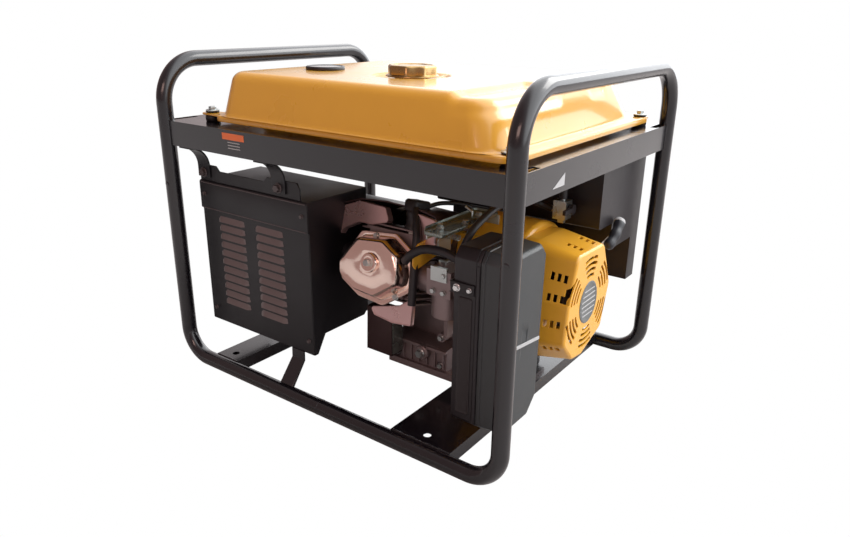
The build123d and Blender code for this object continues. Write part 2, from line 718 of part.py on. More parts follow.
# ---- exhaust ----
def muffler():
    """The silencer can with its inlet pipe and flange and its tail pipe."""
    can = block((62, 282), (104, 208), (112, 302))
    can = fillet(can.edges().filter_by(Axis.X), 38)
    hollow = block((64, 280), (106, 206), (114, 300))
    can -= fillet(hollow.edges().filter_by(Axis.X), 36)
    x, y, z = world(EXHAUST_X, 150, -4)
    can += rod_x((x, 63), y, z, 17) + rod_x((x, x + 6), y, z, 26)
    can -= rod_x((x - 1, 70), y, z, 15)
    can += rod_x((280, 296), *TAIL_PIPE, 12)
    return can - rod_x((270, 300), *TAIL_PIPE, 10)


def muffler_shield():
    """The louvred heat shield: back, ends and top, open to the alternator."""
    t = 1.5
    shield = block(SHIELD_X, SHIELD_Y, SHIELD_Z)
    shield = fillet(shield.edges().filter_by(Axis.Z).sort_by(Axis.Y)[-2:], 8)
    inner_x = (SHIELD_X[0] + t, SHIELD_X[1] - t)
    shield -= block(inner_x, (SHIELD_Y[0] - 5, SHIELD_Y[1] - t), (SHIELD_Z[0] - 5, SHIELD_Z[1] - t))
    shield -= block((30, 250), (50, SHIELD_Y[1] - t), (70, 108))
    for column in LOUVRE_COLUMNS:
        for row in range(LOUVRE_ROWS):
            z = LOUVRE_LOW + LOUVRE_STEP * row
            shield -= block(column, (215, 230), (z, z + 3.5))
    x, y, z = world(SHIELD_X[0], 150, -4)
    shield -= rod_x((x - 10, x + 10), y, z, 21)
    return shield - rod_x((290, 310), *TAIL_PIPE, 16)


def muffler_brackets():
    """The fixing plate on the shield, two curved hangers and the lower strap."""
    solids = [block((60, SHIELD_X[1]), (218, 221), (SHIELD_Z[1], 362))]
    bend = SIDE_RAIL_OUT - 2 - 221
    for middle in HANGER_XS:
        outer = Pos(middle, 221 + bend, RAIL_LOW - bend) * Rot(0, 90, 0) * Cylinder(bend, 30)
        inner = Pos(middle, 221 + bend, RAIL_LOW - bend) * Rot(0, 90, 0) * Cylinder(bend - STRAP, 40)
        arc = outer - inner
        arc &= block((middle - 16, middle + 16), (210, 221 + bend), (RAIL_LOW - bend, RAIL_LOW))
        tail = block((middle - 15, middle + 15), (221, 221 + STRAP), (SHIELD_Z[1] + 4, RAIL_LOW - bend))
        solids.append(arc + tail + rod_y(middle, (221 + STRAP, 229), 349, 6))
    lean = Polyline((252, 22), (223.5, 62), (223.5, 77), (220.5, 77), (220.5, 61), (249, 21), close=True)
    strap = Plane(origin=(66, 0, 0), x_dir=(0, 1, 0), z_dir=(1, 0, 0)) * extrude(make_face(lean), 28)
    solids.append(strap - rod_x((40, 120), HALF_WIDTH, GROUND_Z, TUBE_R))
    return Compound(children=solids)


# ---- alternator ----
def stator():
    """The laminated stator, with its engine-side bell."""
    core = rod_x((22, 205), CRANK_Y, CRANK_Z, ALTERNATOR_R) - rod_x((20, 210), CRANK_Y, CRANK_Z, 64)
    bell = rod_x((-6, 22), CRANK_Y, CRANK_Z, ALTERNATOR_R - 4) - rod_x((-8, 30), CRANK_Y, CRANK_Z, 74)
    bell += rod_x((-6, -1), CRANK_Y, CRANK_Z, ALTERNATOR_R - 4) - rod_x((-8, 0), CRANK_Y, CRANK_Z, 40)
    return core + bell


def alternator_end_cover():
    cover = rod_x((205, 292), CRANK_Y, CRANK_Z, ALTERNATOR_R - 2)
    cover = fillet(cover.faces().sort_by(Axis.X)[-1].edges(), 18)
    cover -= rod_x((200, 272), CRANK_Y, CRANK_Z, ALTERNATOR_R - 6)
    cover += rod_x((262, 272), CRANK_Y, CRANK_Z, 26)
    cover += block((216, 254), (-96, 72), (FOOT_LOW, FOOT_TOP))
    cover += block((222, 248), (-76, -52), (FOOT_TOP, 150)) + block((222, 248), (28, 52), (FOOT_TOP, 150))
    cover -= rod_x((200, 262), CRANK_Y, CRANK_Z, ALTERNATOR_R - 6)
    cover -= rod_x((250, 285), CRANK_Y, CRANK_Z, 12 + RUNNING_GAP)
    for i in range(8):
        turn = Pos(0, CRANK_Y, CRANK_Z) * Rot(45 * i + 22.5, 0, 0)
        cover -= turn * (Pos(285, 50, 0) * Box(40, 34, 12))
    for y in ALTERNATOR_MOUNT_YS:
        cover -= rod_z(ALTERNATOR_MOUNT_X, y, (40, 70), STUD_R + STUD_GAP)
        cover -= rod_z(ALTERNATOR_MOUNT_X, y, (FOOT_TOP, FOOT_TOP + 13), 9)
    return cover


def rotor():
    core = rod_x((30, 200), CRANK_Y, CRANK_Z, 61)
    core += rod_x((200, 272), CRANK_Y, CRANK_Z, 12)
    fan = rod_x((206, 216), CRANK_Y, CRANK_Z, 70) - rod_x((205, 220), CRANK_Y, CRANK_Z, 30)
    core += fan + rod_x((206, 209), CRANK_Y, CRANK_Z, 40)
    return core - rod_x((20, 60), CRANK_Y, CRANK_Z, JOURNAL_R)


def crankshaft():
    y, z = CRANK_Y, CRANK_Z
    shaft = rod_x((-252, 60), y, z, JOURNAL_R) - rod_x((-84, -44), y, z, 40)
    for xs in ((-100, -84), (-44, -36)):
        shaft += rod_x(xs, y, z, 42)
    return shaft + rod_x((-84, -44), y + 24, z, 15)


def flywheel():
    y, z = CRANK_Y, CRANK_Z
    wheel = rod_x((-222, -166), y, z, 88) - rod_x((-190, -160), y, z, 78)
    wheel += rod_x((-190, -162), y, z, 28)
    wheel += rod_x((-250, -222), y, z, 34) - rod_x((-252, -230), y, z, 30)
    for i in range(16):
        turn = Pos(0, y, z) * Rot(22.5 * i, 0, 0)
        wheel += turn * (Pos(-225.5, 66, 0) * Box(8, 34, 3))
    return wheel - rod_x((-255, -150), y, z, JOURNAL_R)


def oil_dipstick():
    stick = rod_y(DIPSTICK_X, (-93, -46), DIPSTICK_Z, 2.5)
    stick += rod_y(DIPSTICK_X, (-104, -92.4), DIPSTICK_Z, 15)
    return stick + rod_y(DIPSTICK_X, (-112, -104), DIPSTICK_Z, 9)


# ---- control box ----
def control_form(inset):
    """The moulded box, deep at the top and shallow below, closed at its back."""
    x = (PANEL_X[0] + inset, PANEL_X[1] - inset)
    top = block(x, (PANEL_Y, -75 - inset), (286 + inset, PANEL_Z[1] - inset))
    middle = block(x, (PANEL_Y, -128 - inset), (240 + inset, PANEL_Z[1] - inset))
    low = block(x, (PANEL_Y, -221 - inset), (PANEL_Z[0] + inset, PANEL_Z[1] - inset))
    return top + middle + low


def control_box():
    box = control_form(0)
    box = fillet(box.edges().filter_by(Axis.X).sort_by(Axis.Y)[-1:], 6)
    opening_z = (PANEL_Z[0] + 3, PANEL_Z[1] - 3)
    return box - control_form(2.5) - block((-299, 9), (PANEL_Y - 1, PANEL_Y + 3), opening_z)


def panel_plate():
    plate = block(PANEL_X, (PANEL_FACE, PANEL_Y), PANEL_Z)
    for x, z in SOCKETS:
        plate -= rod_y(x, (PANEL_FACE - 1, PANEL_Y + 1), z, 22)
    plate -= rod_y(SWITCH_X, (PANEL_FACE - 1, PANEL_Y + 1), CONTROL_Z, 12)
    slot = (BREAKER_X - 18, BREAKER_X + 18)
    return plate - block(slot, (PANEL_FACE - 1, PANEL_Y + 1), (CONTROL_Z - 20, CONTROL_Z + 20))


def ac_sockets():
    solids = []
    for x, z in SOCKETS:
        body = rod_y(x, (PANEL_FACE - 4, PANEL_Y + 16), z, 21.8)
        body += rod_y(x, (PANEL_FACE - 3, PANEL_FACE), z, 28)
        body -= rod_y(x, (PANEL_FACE - 5, PANEL_Y + 2), z, 18)
        solids.append(body)
    return Compound(children=solids)


def socket_flap():
    """The sprung splash flap of the first socket."""
    x, z = SOCKETS[0]
    flap = rod_y(x, (PANEL_FACE - 8, PANEL_FACE - 4.4), z, 24)
    flap += block((x - 12, x + 12), (PANEL_FACE - 8, PANEL_FACE - 4.4), (z + 18, z + 32))
    return flap + rod_x((x - 12, x + 12), PANEL_FACE - 6.2, z + 32, 1.8)


def breaker_lever():
    barrel = Pos(BREAKER_X, PANEL_Y, CONTROL_Z) * Rot(0, 90, 0) * Cylinder(9, 30)
    paddle = (BREAKER_X - 10, BREAKER_X + 10)
    return barrel + block(paddle, (PANEL_FACE - 9, PANEL_Y), (CONTROL_Z + 3, CONTROL_Z + 8))


def engine_switch():
    knob = rod_y(SWITCH_X, (PANEL_FACE - 8, PANEL_Y + 8), CONTROL_Z, 11.7)
    rib = (SWITCH_X - 3, SWITCH_X + 3)
    return knob + block(rib, (PANEL_FACE - 12, PANEL_FACE - 8), (CONTROL_Z - 10, CONTROL_Z + 10))


# ---- write every part ----
NODES = {
    "frame_hoop_recoil_end": lambda: frame_hoop(-1),
    "frame_hoop_alternator_end": lambda: frame_hoop(1),
    "side_rail_back": lambda: side_rail(1),
    "side_rail_front": lambda: side_rail(-1),
    "end_rail_recoil": lambda: end_rail(-1),
    "end_rail_alternator": lambda: end_rail(1),
    "cross_rail_engine": lambda: cross_rail(ENGINE_RAIL_X, ENGINE_MOUNT_X, ENGINE_MOUNT_YS, (-222, -164)),
    "cross_rail_alternator": lambda: cross_rail(
        ALTERNATOR_RAIL_X, ALTERNATOR_MOUNT_X, ALTERNATOR_MOUNT_YS, ()
    ),
    "rubber_mounts": rubber_mounts,
    "mount_bolts": mount_bolts,
    "fuel_tank": fuel_tank,
    "filler_neck": filler_neck,
    "tank_grommets": tank_grommets,
    "tank_bolts": tank_bolts,
    "fuel_strainer": fuel_strainer,
    "fuel_gauge": fuel_gauge,
    "gauge_needle": gauge_needle,
    "fuel_cap_insert": fuel_cap_insert,
    "fuel_cap": fuel_cap,
    "fuel_cock": fuel_cock,
    "fuel_cock_lever": fuel_cock_lever,
    "fuel_hose": fuel_hose,
    "crankcase": crankcase,
    "crankcase_cover": crankcase_cover,
    "cylinder_head": cylinder_head,
    "rocker_cover": rocker_cover,
    "rocker_cover_bolt": rocker_cover_bolt,
    "cylinder_shroud": cylinder_shroud,
    "lower_duct": lower_duct,
    "spark_plug": spark_plug,
    "spark_plug_cap": spark_plug_cap,
    "ignition_lead": ignition_lead,
    "fan_housing": fan_housing,
    "recoil_cover": recoil_cover,
    "recoil_pulley": recoil_pulley,
    "recoil_rope": recoil_rope,
    "recoil_handle": recoil_handle,
    "carburetor": carburetor,
    "choke_lever": choke_lever,
    "throttle_arm": throttle_arm,
    "governor_bracket": governor_bracket,
    "air_cleaner_base": air_cleaner_base,
    "air_cleaner_cover": air_cleaner_cover,
    "air_filter": air_filter,
    "breather_hose": breather_hose,
    "muffler": muffler,
    "muffler_shield": muffler_shield,
    "muffler_brackets": muffler_brackets,
    "stator": stator,
    "alternator_end_cover": alternator_end_cover,
    "rotor": rotor,
    "crankshaft": crankshaft,
    "flywheel": flywheel,
    "oil_dipstick": oil_dipstick,
    "control_box": control_box,
    "panel_plate": panel_plate,
    "ac_sockets": ac_sockets,
    "socket_flap": socket_flap,
    "breaker_lever": breaker_lever,
    "engine_switch": engine_switch,
}

for node, make in NODES.items():
    save(node, make())
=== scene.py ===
import json
from math import cos, pi, radians, sin

import bpy
import bmesh
from mathutils import Matrix, Vector


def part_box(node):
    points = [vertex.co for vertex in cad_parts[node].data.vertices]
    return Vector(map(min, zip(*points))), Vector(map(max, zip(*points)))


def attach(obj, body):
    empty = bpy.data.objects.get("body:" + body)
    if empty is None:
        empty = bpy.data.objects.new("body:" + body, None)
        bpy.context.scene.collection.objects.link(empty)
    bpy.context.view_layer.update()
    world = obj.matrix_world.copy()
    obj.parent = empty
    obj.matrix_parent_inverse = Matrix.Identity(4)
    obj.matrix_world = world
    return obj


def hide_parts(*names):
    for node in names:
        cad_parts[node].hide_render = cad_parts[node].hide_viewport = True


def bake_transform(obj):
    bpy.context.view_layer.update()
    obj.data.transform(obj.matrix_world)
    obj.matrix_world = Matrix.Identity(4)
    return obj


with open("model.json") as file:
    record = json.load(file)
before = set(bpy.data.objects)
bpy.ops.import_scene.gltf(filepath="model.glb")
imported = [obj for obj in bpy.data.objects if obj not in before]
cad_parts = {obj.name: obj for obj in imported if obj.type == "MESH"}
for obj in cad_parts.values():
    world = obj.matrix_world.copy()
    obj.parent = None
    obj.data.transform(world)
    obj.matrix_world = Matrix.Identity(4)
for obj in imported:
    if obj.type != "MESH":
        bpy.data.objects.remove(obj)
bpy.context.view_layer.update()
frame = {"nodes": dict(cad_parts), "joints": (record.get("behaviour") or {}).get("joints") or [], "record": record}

NODES = frame["nodes"]
JOINTS = {joint["name"]: joint for joint in frame["joints"]}


# ---------------------------------------------------------------- camera
CAMERA_PLACE = Vector((-0.7122, 0.9514, 0.6114))
CAMERA_YAW = radians(36.17)
CAMERA_PITCH = radians(20.14)
CAMERA_ROLL = radians(0.74)
CAMERA_LENS = 29.87


def make_camera():
    data = bpy.data.cameras.new("camera")
    data.lens = CAMERA_LENS
    data.sensor_width = 36.0
    data.clip_start = 0.05
    camera = bpy.data.objects.new("camera", data)
    bpy.context.scene.collection.objects.link(camera)
    flat = cos(CAMERA_PITCH)
    look = Vector((sin(CAMERA_YAW) * flat, -cos(CAMERA_YAW) * flat, -sin(CAMERA_PITCH)))
    level = look.cross(Vector((0, 0, 1))).normalized()
    upright = level.cross(look)
    right = level * cos(CAMERA_ROLL) + upright * sin(CAMERA_ROLL)
    up = upright * cos(CAMERA_ROLL) - level * sin(CAMERA_ROLL)
    turn = Matrix((right, up, -look)).transposed().to_4x4()
    camera.matrix_world = Matrix.Translation(CAMERA_PLACE) @ turn
    bpy.context.scene.camera = camera


# ---------------------------------------------------------------- materials
def new_material(name):
    material = bpy.data.materials.new(name)
    material.use_nodes = True
    nodes = material.node_tree.nodes
    return material, nodes, material.node_tree.links, nodes["Principled BSDF"]


def tuned(name, colour, roughness, metallic=0.0, coat=0.0, grain=60.0, bump=0.05,
          variation=0.12, rough_spread=0.12, wear=None, coat_roughness=0.1):
    """A paint, plastic or metal with mottled colour, uneven roughness and fine bump."""
    material, nodes, links, shader = new_material(name)
    place = nodes.new("ShaderNodeTexCoord")
    mottle = nodes.new("ShaderNodeTexNoise")
    mottle.inputs["Scale"].default_value = grain * 0.25
    mottle.inputs["Detail"].default_value = 5.0
    links.new(place.outputs["Object"], mottle.inputs["Vector"])
    tint = nodes.new("ShaderNodeMix")
    tint.data_type = "RGBA"
    tint.inputs["A"].default_value = (*[c * (1 - variation) for c in colour], 1)
    tint.inputs["B"].default_value = (*[min(1.0, c * (1 + variation)) for c in colour], 1)
    links.new(mottle.outputs["Fac"], tint.inputs["Factor"])
    colour_out = tint.outputs["Result"]
    if wear:
        edge = nodes.new("ShaderNodeNewGeometry")
        ramp = nodes.new("ShaderNodeValToRGB")
        ramp.color_ramp.elements[0].position = 0.53
        ramp.color_ramp.elements[1].position = 0.60
        links.new(edge.outputs["Pointiness"], ramp.inputs["Fac"])
        worn = nodes.new("ShaderNodeMix")
        worn.data_type = "RGBA"
        worn.inputs["B"].default_value = (*wear, 1)
        links.new(ramp.outputs["Color"], worn.inputs["Factor"])
        links.new(colour_out, worn.inputs["A"])
        colour_out = worn.outputs["Result"]
    links.new(colour_out, shader.inputs["Base Color"])
    fine = nodes.new("ShaderNodeTexNoise")
    fine.inputs["Scale"].default_value = grain * 6
    fine.inputs["Detail"].default_value = 3.0
    links.new(place.outputs["Object"], fine.inputs["Vector"])
    spread = nodes.new("ShaderNodeMapRange")
    spread.inputs["To Min"].default_value = max(0.02, roughness - rough_spread)
    spread.inputs["To Max"].default_value = min(1.0, roughness + rough_spread)
    links.new(mottle.outputs["Fac"], spread.inputs["Value"])
    links.new(spread.outputs["Result"], shader.inputs["Roughness"])
    relief = nodes.new("ShaderNodeBump")
    relief.inputs["Strength"].default_value = bump
    relief.inputs["Distance"].default_value = 0.001
    links.new(fine.outputs["Fac"], relief.inputs["Height"])
    links.new(relief.outputs["Normal"], shader.inputs["Normal"])
    shader.inputs["Metallic"].default_value = metallic
    shader.inputs["Coat Weight"].default_value = coat
    shader.inputs["Coat Roughness"].default_value = coat_roughness
    return material


MATERIALS = {
    "frame_paint": tuned("frame_paint", (0.0042, 0.0032, 0.0052), 0.24, coat=0.55, bump=0.02,
                         coat_roughness=0.10),
    "tank_paint": tuned("tank_paint", (0.72, 0.36, 0.030), 0.30, coat=0.7, bump=0.012, variation=0.05,
                        coat_roughness=0.08),
    "shroud_paint": tuned("shroud_paint", (0.74, 0.37, 0.028), 0.34, coat=0.4, bump=0.04, variation=0.06),
    "polished_steel": tuned("polished_steel", (0.78, 0.66, 0.62), 0.16, metallic=1.0, bump=0.02,
                            rough_spread=0.05),
    "cast_aluminium": tuned("cast_aluminium", (0.26, 0.205, 0.205), 0.46, metallic=0.75, bump=0.35,
                            grain=110),
    "zinc_steel": tuned("zinc_steel", (0.50, 0.53, 0.52), 0.30, metallic=1.0, bump=0.05),
    "dark_steel": tuned("dark_steel", (0.055, 0.050, 0.050), 0.42, metallic=0.7, bump=0.1),
    "heat_paint": tuned("heat_paint", (0.0060, 0.0055, 0.0075), 0.42, bump=0.08),
    "black_plastic": tuned("black_plastic", (0.012, 0.009, 0.011), 0.40, bump=0.10),
    "grey_plastic": tuned("grey_plastic", (0.030, 0.034, 0.036), 0.40, bump=0.10),
    "rubber": tuned("rubber", (0.010, 0.008, 0.010), 0.50, bump=0.10),
    "foam": tuned("foam", (0.18, 0.16, 0.13), 0.95, bump=0.8),
    "ceramic": tuned("ceramic", (0.80, 0.79, 0.75), 0.2, coat=0.5),
    "rope": tuned("rope", (0.70, 0.68, 0.62), 0.8, bump=0.5),
    "red_plastic": tuned("red_plastic", (0.6, 0.05, 0.03), 0.35),
    "cap_metal": tuned("cap_metal", (0.40, 0.26, 0.11), 0.27, metallic=1.0, bump=0.03),
    # lighter copy of the guard's black paint for the louvres: painted highlight where their upward faces catch
    # light
    "louvre_painted_highlight": tuned("louvre_painted_highlight", (0.125, 0.095, 0.092), 0.34, bump=0.05, coat=0.3),
    # lighter copy of the guard paint for the fold rods and screw heads: painted highlight
    "heat_paint_highlight": tuned("heat_paint_highlight", (0.07, 0.055, 0.055), 0.34, bump=0.05),
    # polished chrome tinted salmon: real chrome, with the pink of a painted reflection in its colour
    "chrome_pink_reflection": tuned("chrome_pink_reflection", (0.93, 0.70, 0.61), 0.14, metallic=1.0, bump=0.03,
                          rough_spread=0.04),
    # polished sheet tinted pink: real bright metal, with the pink of a painted reflection in its colour
    "bright_sheet_pink_reflection": tuned("bright_sheet_pink_reflection", (0.66, 0.46, 0.45), 0.30, metallic=0.8, bump=0.04),
    "plum_sheet": tuned("plum_sheet", (0.060, 0.034, 0.034), 0.34, metallic=0.5, bump=0.05),
    "green_zinc": tuned("green_zinc", (0.30, 0.34, 0.31), 0.28, metallic=0.9, bump=0.05),
    "bright_metal": tuned("bright_metal", (0.75, 0.75, 0.75), 0.25, metallic=1.0, bump=0.03),
    "dark_panel": tuned("dark_panel", (0.014, 0.009, 0.010), 0.36, bump=0.06),
    "pale_strip": tuned("pale_strip", (0.42, 0.42, 0.42), 0.45, bump=0.03),
    "badge_grey": tuned("badge_grey", (0.16, 0.17, 0.17), 0.35, metallic=0.5, bump=0.03),
    "grip_rubber": tuned("grip_rubber", (0.010, 0.011, 0.016), 0.42, bump=0.15, grain=90),
    "orange_patch": tuned("orange_patch", (0.75, 0.16, 0.04), 0.45, bump=0.02),
    "white_mark": tuned("white_mark", (0.75, 0.75, 0.72), 0.5),
    "clear_lens": tuned("clear_lens", (0.02, 0.02, 0.022), 0.05, coat=1.0, bump=0.0),
}


def paint(piece, slot):
    piece.data.materials.clear()
    piece.data.materials.append(MATERIALS[slot])


def paint_cad():
    for part in frame["record"]["subparts"]:
        paint(NODES[part["node"]], part["material_slot"])


# ---------------------------------------------------------------- making pieces
MM = 0.001
CRANK = Vector(JOINTS["crank_spin"]["pos_m"])
TILT = radians(16.0)
ALONG_X = Matrix(((0, 0, 1), (1, 0, 0), (0, 1, 0)))


def mm(*values):
    return Vector(values) * MM


def smoothstep(low, high, value):
    t = min(1.0, max(0.0, (value - low) / (high - low)))
    return t * t * (3 - 2 * t)


def aim(direction, turn=0.0):
    """A rotation that carries +Z onto direction."""
    return Vector(direction).to_track_quat("Z", "Y").to_matrix() @ Matrix.Rotation(turn, 3, "Z")


def tilted(x, s, v):
    """A point in the engine's tilted frame, given in millimetres, in the row frame."""
    return CRANK * 1.0 + Vector((
        x * MM - CRANK.x,
        (s * cos(TILT) - v * sin(TILT)) * MM,
        (s * sin(TILT) + v * cos(TILT)) * MM,
    ))


CYLINDER_WAY = Vector((0, cos(TILT), sin(TILT)))


def finish_piece(name, bm, slot, body="root", replaces=(), bevel=0.0, smooth=35, subdivide=0):
    """Turns a bmesh into a piece that has a material and rides on a body."""
    bmesh.ops.remove_doubles(bm, verts=bm.verts, dist=1e-6)
    bmesh.ops.recalc_face_normals(bm, faces=bm.faces)
    mesh = bpy.data.meshes.new(name)
    bm.to_mesh(mesh)
    bm.free()
    mesh.shade_smooth()
    mesh.set_sharp_from_angle(angle=radians(smooth))
    piece = bpy.data.objects.new(name, mesh)
    bpy.context.scene.collection.objects.link(piece)
    paint(piece, slot)
    if bevel:
        soften(piece, bevel)
    if subdivide:
        layer = piece.modifiers.new("subdivide", "SUBSURF")
        layer.levels = layer.render_levels = subdivide
    if body:
        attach(piece, body)
    if replaces:
        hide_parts(*replaces)
    return piece


def soften(piece, width, angle=38, segments=2):
    layer = piece.modifiers.new("edges", "BEVEL")
    layer.width = width
    layer.segments = segments
    layer.limit_method = "ANGLE"
    layer.angle_limit = radians(angle)
    layer.harden_normals = True


def add_prism(bm, outline, place, turn, depth):
    """A closed prism: outline is a list of (x, y), extruded along turn's Z from place."""
    low = [bm.verts.new(place + turn @ Vector((x, y, 0))) for x, y in outline]
    high = [bm.verts.new(place + turn @ Vector((x, y, depth))) for x, y in outline]
    bm.faces.new(low)
    bm.faces.new(list(reversed(high)))
    for i in range(len(outline)):
        j = (i + 1) % len(outline)
        bm.faces.new((low[j], low[i], high[i], high[j]))


def add_box(bm, low, high):
    """A box between two corners in millimetres."""
    x0, y0, z0 = [v * MM for v in low]
    x1, y1, z1 = [v * MM for v in high]
    outline = [(x0, y0), (x1, y0), (x1, y1), (x0, y1)]
    add_prism(bm, outline, Vector((0, 0, z0)), Matrix.Identity(3), z1 - z0)


def add_lathe(bm, profile, place, turn=None, segments=32, start=0.0, share=1.0):
    """A turned solid: profile is a list of (radius, height) in metres along turn's Z."""
    turn = turn or Matrix.Identity(3)
    rings = []
    for radius, height in profile:
        if radius < 1e-6:
            rings.append([bm.verts.new(place + turn @ Vector((0, 0, height)))])
            continue
        ring = []
        for i in range(segments):
            a = start + 2 * pi * share * i / segments
            ring.append(bm.verts.new(place + turn @ Vector((radius * cos(a), radius * sin(a), height))))
        rings.append(ring)
    skin_rings(bm, rings)


def skin_rings(bm, rings, cap=True):
    for ring, after in zip(rings, rings[1:]):
        if len(ring) == 1 and len(after) == 1:
            continue
        count = max(len(ring), len(after))
        for i in range(count):
            j = (i + 1) % count
            corners = [ring[i % len(ring)], ring[j % len(ring)], after[j % len(after)], after[i % len(after)]]
            faces = list(dict.fromkeys(corners))
            if len(faces) > 2:
                bm.faces.new(faces)
    if cap:
        for ring in (rings[0], rings[-1]):
            if len(ring) > 2:
                bm.faces.new(ring)


def arc_path(points, radii, step=radians(7.5)):
    """Straight runs joined by tangent arcs, as points; each corner has its own radius."""
    path = [Vector(points[0])]
    for before, here, after, radius in zip(points, points[1:], points[2:], radii):
        here = Vector(here)
        way_in = (here - Vector(before)).normalized()
        way_out = (Vector(after) - here).normalized()
        turn = way_in.angle(way_out)
        reach = radius * sin(turn / 2) / cos(turn / 2)
        inward = (way_out - way_in).normalized()
        middle = here + inward * (radius / cos(turn / 2))
        count = max(2, int(turn / step))
        first = here - way_in * reach - middle
        axis = way_in.cross(way_out).normalized()
        for i in range(count + 1):
            path.append(middle + Matrix.Rotation(turn * i / count, 3, axis) @ first)
    path.append(Vector(points[-1]))
    return path


def add_tube(bm, path, radius, segments=20):
    """A round bar along a path; radius may be one number or one for each point."""
    radii = radius if isinstance(radius, list) else [radius] * len(path)
    way = (path[1] - path[0]).normalized()
    side = way.orthogonal().normalized()
    rings = []
    for i, point in enumerate(path):
        before = path[max(0, i - 1)]
        after = path[min(len(path) - 1, i + 1)]
        new_way = (after - before).normalized()
        side = (way.rotation_difference(new_way) @ side).normalized()
        way = new_way
        other = way.cross(side)
        ring = []
        for k in range(segments):
            a = 2 * pi * k / segments
            ring.append(bm.verts.new(point + (side * cos(a) + other * sin(a)) * radii[i]))
        rings.append(ring)
    skin_rings(bm, rings)


def make_lead(name, route, radius):
    """A rubber-covered lead or hose on a smooth line through its route."""
    curve = bpy.data.curves.new(name, "CURVE")
    curve.dimensions = "3D"
    curve.bevel_depth = radius
    curve.bevel_resolution = 4
    curve.use_fill_caps = True
    spline = curve.splines.new("NURBS")
    spline.points.add(len(route) - 1)
    for point, place in zip(spline.points, route):
        point.co = (*place, 1.0)
    spline.order_u = 3
    spline.use_endpoint_u = True
    spline.resolution_u = 10
    piece = bpy.data.objects.new(name, curve)
    bpy.context.scene.collection.objects.link(piece)
    paint(piece, "rubber")
    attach(piece, "root")


def add_bolt(bm, place, direction, size, washer=1.5):
    """A flanged hex bolt head: size is its width across flats, in metres."""
    turn = aim(direction)
    wide = size * 0.5 * washer
    add_lathe(bm, [(0, 0), (wide, 0), (wide, size * 0.10), (wide * 0.9, size * 0.16), (0, size * 0.16)],
              place, turn, 24)
    top = size * 0.62
    corner = size / 2 / cos(pi / 6)
    rings = []
    for radius, height in ((corner, size * 0.14), (corner, top - size * 0.08), (corner * 0.88, top)):
        ring = []
        for i in range(6):
            a = pi / 3 * i
            ring.append(bm.verts.new(place + turn @ Vector((radius * cos(a), radius * sin(a), height))))
        rings.append(ring)
    skin_rings(bm, rings)


def add_screw(bm, place, direction, radius):
    """A pan-head screw with a round recess in its head."""
    turn = aim(direction)
    profile = [(0, 0), (radius, 0), (radius, radius * 0.25), (radius * 0.8, radius * 0.5),
               (radius * 0.35, radius * 0.62)]
    add_lathe(bm, profile + [(radius * 0.3, radius * 0.35), (0, radius * 0.3)], place, turn, 16)


def rounded_outline(points, radius, steps=5):
    """A closed 2D outline with its corners rounded by arcs."""
    result = []
    count = len(points)
    for i in range(count):
        here = Vector(points[i]).to_3d()
        before = Vector(points[i - 1]).to_3d()
        after = Vector(points[(i + 1) % count]).to_3d()
        size = radius[i] if isinstance(radius, (list, tuple)) else radius
        way_in = (here - before).normalized()
        way_out = (after - here).normalized()
        turn = way_in.angle(way_out)
        if size < 1e-6 or turn < 1e-3:
            result.append((here.x, here.y))
            continue
        reach = size * sin(turn / 2) / cos(turn / 2)
        inward = (way_out - way_in).normalized()
        middle = here + inward * (size / cos(turn / 2))
        first = here - way_in * reach - middle
        axis = Vector((0, 0, 1 if way_in.cross(way_out).z > 0 else -1))
        for k in range(steps + 1):
            p = middle + Matrix.Rotation(turn * k / steps, 3, axis) @ first
            result.append((p.x, p.y))
    return result


def grown(outline, amount):
    """A closed outline moved inwards by amount, point by point, along its corner normals."""
    area = sum(a[0] * b[1] - b[0] * a[1] for a, b in zip(outline, outline[1:] + outline[:1]))
    side = 1 if area > 0 else -1
    result = []
    count = len(outline)
    for i in range(count):
        here = Vector(outline[i])
        way_in = (here - Vector(outline[i - 1]))
        way_out = (Vector(outline[(i + 1) % count]) - here)
        way = (way_in.normalized() + way_out.normalized()).normalized()
        normal = Vector((-way.y, way.x)) * side
        result.append(tuple(here + normal * amount))
    return result



# ---------------------------------------------------------------- frame
TUBE = 0.0127
HOOP_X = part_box("frame_hoop_alternator_end")[1].x - TUBE
HOOP_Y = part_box("frame_hoop_alternator_end")[1].y - TUBE
HOOP_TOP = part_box("frame_hoop_alternator_end")[1].z - TUBE
TOP_BEND, LOW_BEND = 0.068, 0.050
RAIL_LOW, RAIL_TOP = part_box("end_rail_recoil")[0].z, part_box("end_rail_recoil")[1].z
RAIL_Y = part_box("side_rail_back")[1].y
RAIL_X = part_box("end_rail_alternator")[1].x


